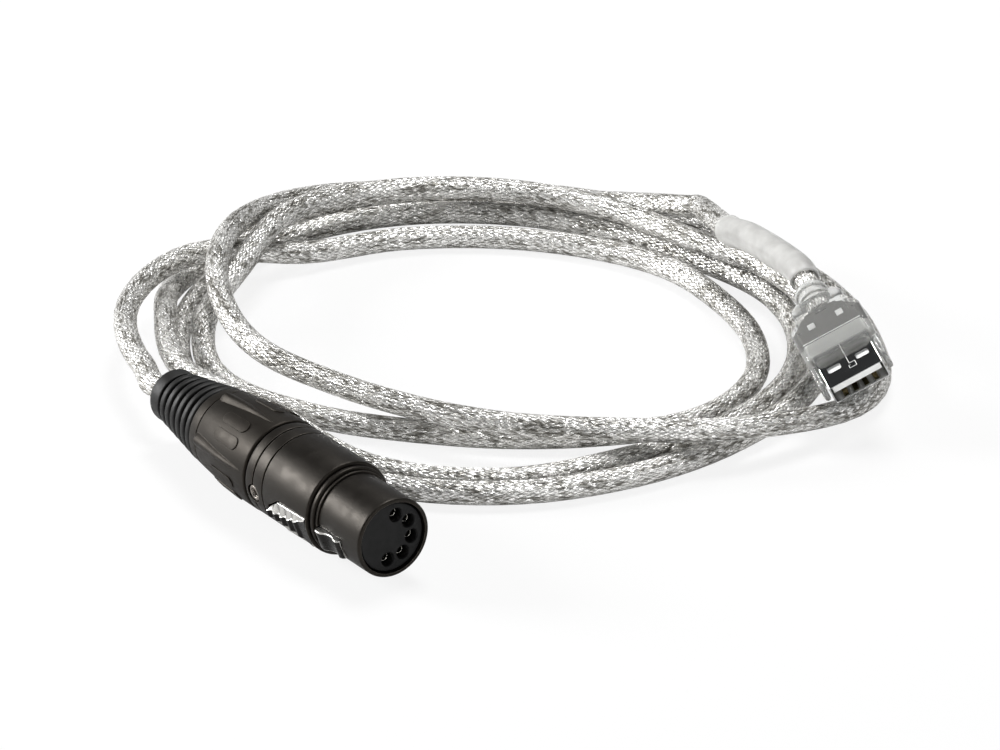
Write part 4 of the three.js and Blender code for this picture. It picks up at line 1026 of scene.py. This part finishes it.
# A white strip in the seam's groove: painted highlight.
seam_highlight = carved(slab(seams[0], 2.1, 2.235), [slab(c, 2.1, 2.235) for c in seams[1:]], "UNION")
painted_light_pieces = [shown("painted_seam_highlight", seam_highlight, painted_light_white, plug_place)]
# White plates just under the windows, nearer than the tongue: painted light for the lit plastic seen through them.
for i, y in enumerate(sides):
    window_plate = brick(-5.9, -3.3, y - 1.7, y + 1.7, 1.2, 1.93)
    painted_light_pieces.append(shown(f"painted_window_light_{i + 1}", window_plate, painted_light_white, plug_place))

# %% [markdown]
# ## Shielding can
# Inside the moulding a dark can closes round the solder joints. It is wide in
# front and steps in towards the cable. A fold crosses it, two square tabs hold
# it, and a slot is cut at its rear. The fold and the tabs are flat white pieces:
# painted highlights for the light their metal catches. Its front part is a
# paler band.

# %% Can pieces
CAN = [
    (-21.9, 7.0, 4.4, 0.6), (-21.2, 7.4, 4.6, 0.6), (-20.7, 9.4, 4.8, 0.6), (-19.9, 10.0, 5.0, 0.6),
    (-18.4, 12.9, 5.5, 0.6), (-13.6, 13.2, 5.7, 0.6), (-13.45, 13.2, 5.75, 0.6), (-13.3, 13.0, 5.5, 0.6),
]
CAN_CUTS = [
    (-22.5, -20.2, -0.25, 0.25, 1.2, 4), (-20.8, -20.3, -1.3, 1.3, 1.9, 4), (-17.6, -17.2, 5.6, 6.2, 2.2, 4),
    (-18.9, -17.2, 4.9, 5.1, 2.2, 4), (-17.6, -17.2, -6.2, -5.6, 2.2, 4),
]
BAND = [(-13.3, 12.8, 5.45, 0.6), (-10.0, 12.9, 5.3, 0.6), (-9.7, 12.6, 5.0, 0.6)]
BAND_ROOM = [(-12.6, 12.1, 4.6, 0.8), (-9, 12.1, 4.6, 0.8)]
can = carved(boxy("can_box", CAN), [brick(*cut) for cut in CAN_CUTS])
can = shown("shield_can", can, can_plating, plug_place, nodes=["usb_shield_can"])
band = carved(boxy("band", BAND), [boxy("room", BAND_ROOM)])
band = shown("pale_band", band, pale_plating, plug_place)
# The can's tabs and its fold are flat white pieces: painted highlights.
painted_highlight_pieces = [shown(f"white_painted_light_{i + 1}", softened(brick(-18.35, -16.75, y - 0.75, y + 0.75, 2.6, 3.05), 0.12),
                    painted_light_white, plug_place) for i, y in enumerate(sides)]
fold = softened(brick(-13.75, -13.4, -6.3, 6.3, 2.7, 2.98), 0.08)
painted_highlight_pieces.append(shown("painted_fold_highlight", fold, painted_light_white, plug_place))

# %% [markdown]
# ## Clear moulding
# The body of the plug is one clear block with rounded shoulders, two ears at its
# rear and an arm along each side of the mouth. Clear plastic is moulded round
# the can without a gap, so the block is solid here and the can lies in it: a
# gap would show as a silver film. The neck and its two rings are milky.

# %% Moulding pieces
BLOCK = [
    (-25.9, 8.2, 5.6, 1.5), (-25.75, 9.0, 6.2, 1.5), (-25.4, 10.0, 6.9, 1.5), (-24.8, 10.9, 7.2, 1.5),
    (-24.0, 11.2, 7.35, 1.4), (-21.2, 11.2, 7.4, 1.3), (-20.8, 11.3, 7.4, 1.3), (-20.4, 11.9, 7.5, 1.3),
    (-18.9, 14.4, 7.95, 1.3), (-18.4, 15.0, 8.05, 1.3), (-17.9, 15.2, 8.1, 1.3), (-9.6, 15.2, 8.1, 1.3),
    (-8.4, 15.0, 7.9, 1.3), (-7.7, 14.6, 7.4, 1.3), (-7.3, 14.1, 6.7, 1.3), (-7.2, 13.6, 6.2, 1.3),
]
ARM = [(-8.5, 1.3, 5.6, 0.5), (-5, 1.3, 5.0, 0.5), (-2.4, 1.25, 4.5, 0.5), (-1.8, 1.1, 4.2, 0.5),
       (-1.5, 0.8, 3.6, 0.38)]
ARM_ASIDE = 6.95
NECK = [
    (-31.0, 2.45), (-31.0, 3.0, 0.15), (-30.3, 3.0), (-30.2, 3.5, 0.2), (-29.3, 3.5, 0.2), (-29.25, 3.0),
    (-27.9, 3.0), (-27.8, 3.5, 0.2), (-26.9, 3.5, 0.2), (-26.85, 3.05), (-25.5, 3.2), (-25.5, 2.45),
]
moulding = carved(boxy("mould_block", BLOCK), [boxy("arm", ARM, side * ARM_ASIDE) for side in (-1, 1)], "UNION")
moulding = shown("clear_moulding", moulding, clear_plastic, plug_place, nodes=["usb_overmould"],
                 sharp=radians(50))
neck_rings = shown("neck_rings", turned("neck_wall", NECK, 72), milky_plastic, plug_place)

# %% [markdown]
# ## Parts inside
# The parts that no photograph shows still get the finish of the real ones: green
# solder mask with tracks under it, matt chips, brushed cans, soft wires and plain
# black clamps. They keep their solids, because those already have the shape, and
# only their material slots are filled.

# %% Materials of the inner parts
board_mask = varied(
    "green_board_mask", (0.012, 0.10, 0.04), (0.025, 0.17, 0.07), (0.25, 0.4), drift=900, grain=1600, depth=0.03,
    edge_wear_and_highlight=(0.5, 0.42, 0.25), stretch=(0.35, 1, 1))
chip_black = varied(
    "matt_chip_black", (0.012, 0.012, 0.012), (0.024, 0.023, 0.022), (0.5, 0.68), drift=900, grain=4200,
    depth=0.015, edge_wear_and_highlight=(0.07, 0.07, 0.07))
brushed_can = varied(
    "brushed_small_can", (0.50, 0.50, 0.49), (0.68, 0.68, 0.66), (0.22, 0.4), 1.0, drift=700, grain=3600,
    depth=0.006, stretch=(1, 0.12, 1))
clamp_plastic = varied(
    "dark_clamp_plastic", (0.018, 0.018, 0.018), (0.034, 0.033, 0.032), (0.45, 0.6), drift=200, grain=2200,
    edge_wear_and_highlight=(0.09, 0.09, 0.09))
pin_steel = varied(
    "drawn_pin_steel", (0.30, 0.30, 0.29), (0.44, 0.44, 0.43), (0.2, 0.38), 1.0, drift=400, grain=3000,
    depth=0.006, edge_wear_and_highlight=(0.7, 0.7, 0.7), stretch=(1, 0.15, 0.15))
inner_cable = varied(
    "inner_cable_jacket", (0.20, 0.20, 0.19), (0.55, 0.55, 0.53), (0.2, 0.36), 0.8, drift=700, depth=0.04,
    stretch=(0.4, 1, 1), Coat_Weight=0.8)
WIRE_COLORS = {
    "wire_1": ((0.36, 0.02, 0.015), (0.52, 0.04, 0.03)), "wire_2": ((0.66, 0.66, 0.63), (0.80, 0.80, 0.77)),
    "wire_3": ((0.02, 0.17, 0.04), (0.04, 0.28, 0.08)), "wire_4": ((0.012, 0.012, 0.012), (0.03, 0.03, 0.03)),
}
node_finishes = {
    "strain_relief_chuck": clamp_plastic, "board_cradle": clamp_plastic, "circuit_board": board_mask,
    "usb_bridge_chip": chip_black, "line_driver_chip": chip_black, "crystal": brushed_can,
    "capacitor_1": brushed_can, "capacitor_2": brushed_can, "latch_pin": pin_steel, "latch_spring": pin_steel,
    "cable_inner_end": inner_cable, "usb_tongue": tongue_plastic,
}
for name, (low, high) in WIRE_COLORS.items():
    node_finishes[name] = varied(f"soft_{name}", low, high, (0.35, 0.5), drift=500, grain=2000, depth=0.01)
# The USB contacts take the darkened gold: painted shade.
for i in range(4):
    node_finishes[f"usb_contact_{i + 1}"] = shaded_gold_contact
for name, material in node_finishes.items():
    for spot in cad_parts[name].material_slots:
        spot.material = material
print("finished nodes", len(node_finishes))

# %% [markdown]
# ## Table and light
# The photograph has a white ground and one soft light from the left, which
# draws a bright line along the dark connector and sparkles on the braid. A lamp
# overhead and a weak one in front fill the rest. The floor is a plain pale
# sheet that the camera sees almost white, itself or through clear plastic, while
# the shadow under the object stays. A gloss sees only a little of that white,
# because all of it would turn the black shell pale. High overhead the room is
# dark, which is what makes the bright plating look black.

# %% Floor, lamps and world
scene.view_settings.view_transform = "Standard"
FLOOR_HALF = 3.0
FLOOR_DROP = 0.0001
FLOOR_WHITE, GLOSS_SHARE = 0.86, 0.15
LAMPS = [
    ("top_box", (-0.25, 0.35, 1.0), (0.5, 0.4), 10),
    ("left_box", (-0.80, -0.72, 0.42), (0.45, 0.35), 15),
    ("front_box", (1.0, -0.15, 0.2), (0.4, 0.3), 2.5),
]


def seen_directly(tree):
    """Full for what the camera sees itself or through clear plastic, weaker in a gloss."""
    rays = put(tree, "ShaderNodeLightPath").outputs
    clear = calc(tree, "MAXIMUM", rays["Is Camera Ray"], rays["Is Transmission Ray"])
    return calc(tree, "MAXIMUM", clear, calc(tree, "MULTIPLY", rays["Is Glossy Ray"], GLOSS_SHARE))


def make_floor():
    half = FLOOR_HALF
    mesh = bpy.data.meshes.new("floor")
    mesh.from_pydata([(-half, -half, 0), (half, -half, 0), (half, half, 0), (-half, half, 0)], [], [(0, 1, 2, 3)])
    obj = link(bpy.data.objects.new("floor", mesh))
    obj.location.z = -FLOOR_DROP
    material, tree, shader = surface("floor_paper", (0.9, 0.9, 0.9), 0.9, Specular_IOR_Level=0.1)
    glow = put(tree, "ShaderNodeEmission", {"Color": (1, 1, 1, 1), "Strength": 1.0})
    share = calc(tree, "MULTIPLY", seen_directly(tree), FLOOR_WHITE)
    mixed = put(tree, "ShaderNodeMixShader", {0: share, 1: shader.outputs[0], 2: glow.outputs[0]})
    tree.links.new(mixed.outputs[0], tree.nodes["Material Output"].inputs["Surface"])
    mesh.materials.append(material)


def soft_lamp(name, place, aim, size, power):
    data = bpy.data.lights.new(name, "AREA")
    data.shape = "RECTANGLE"
    data.size, data.size_y = size
    data.energy = power
    lamp = link(bpy.data.objects.new(name, data))
    lamp.location = place
    lamp.rotation_euler = (place - aim).to_track_quat("Z", "Y").to_euler()


make_floor()
middle = Vector(FIELD_MIDDLE) * MM
for name, offset, size, power in LAMPS:
    soft_lamp(name, middle + Vector(offset), middle, size, power)

world = bpy.data.worlds.new("studio")
world.use_nodes = True
scene.world = world
tree = world.node_tree
room = tree.nodes["Background"]
direction = put(tree, "ShaderNodeTexCoord").outputs["Generated"]
rise = put(tree, "ShaderNodeSeparateXYZ", {0: direction}).outputs[2]
room.inputs["Color"].default_value = (0.93, 0.95, 0.97, 1)
tree.links.new(ranged(tree, rise, 0.05, 0.5, 0.42, 0.05), room.inputs["Strength"])
white = put(tree, "ShaderNodeBackground", {"Color": (1, 1, 1, 1), "Strength": 1.0})
camera_ray = put(tree, "ShaderNodeLightPath").outputs["Is Camera Ray"]
sky = put(tree, "ShaderNodeMixShader", {0: camera_ray, 1: room.outputs[0], 2: white.outputs[0]})
tree.links.new(sky.outputs[0], tree.nodes["World Output"].inputs["Surface"])
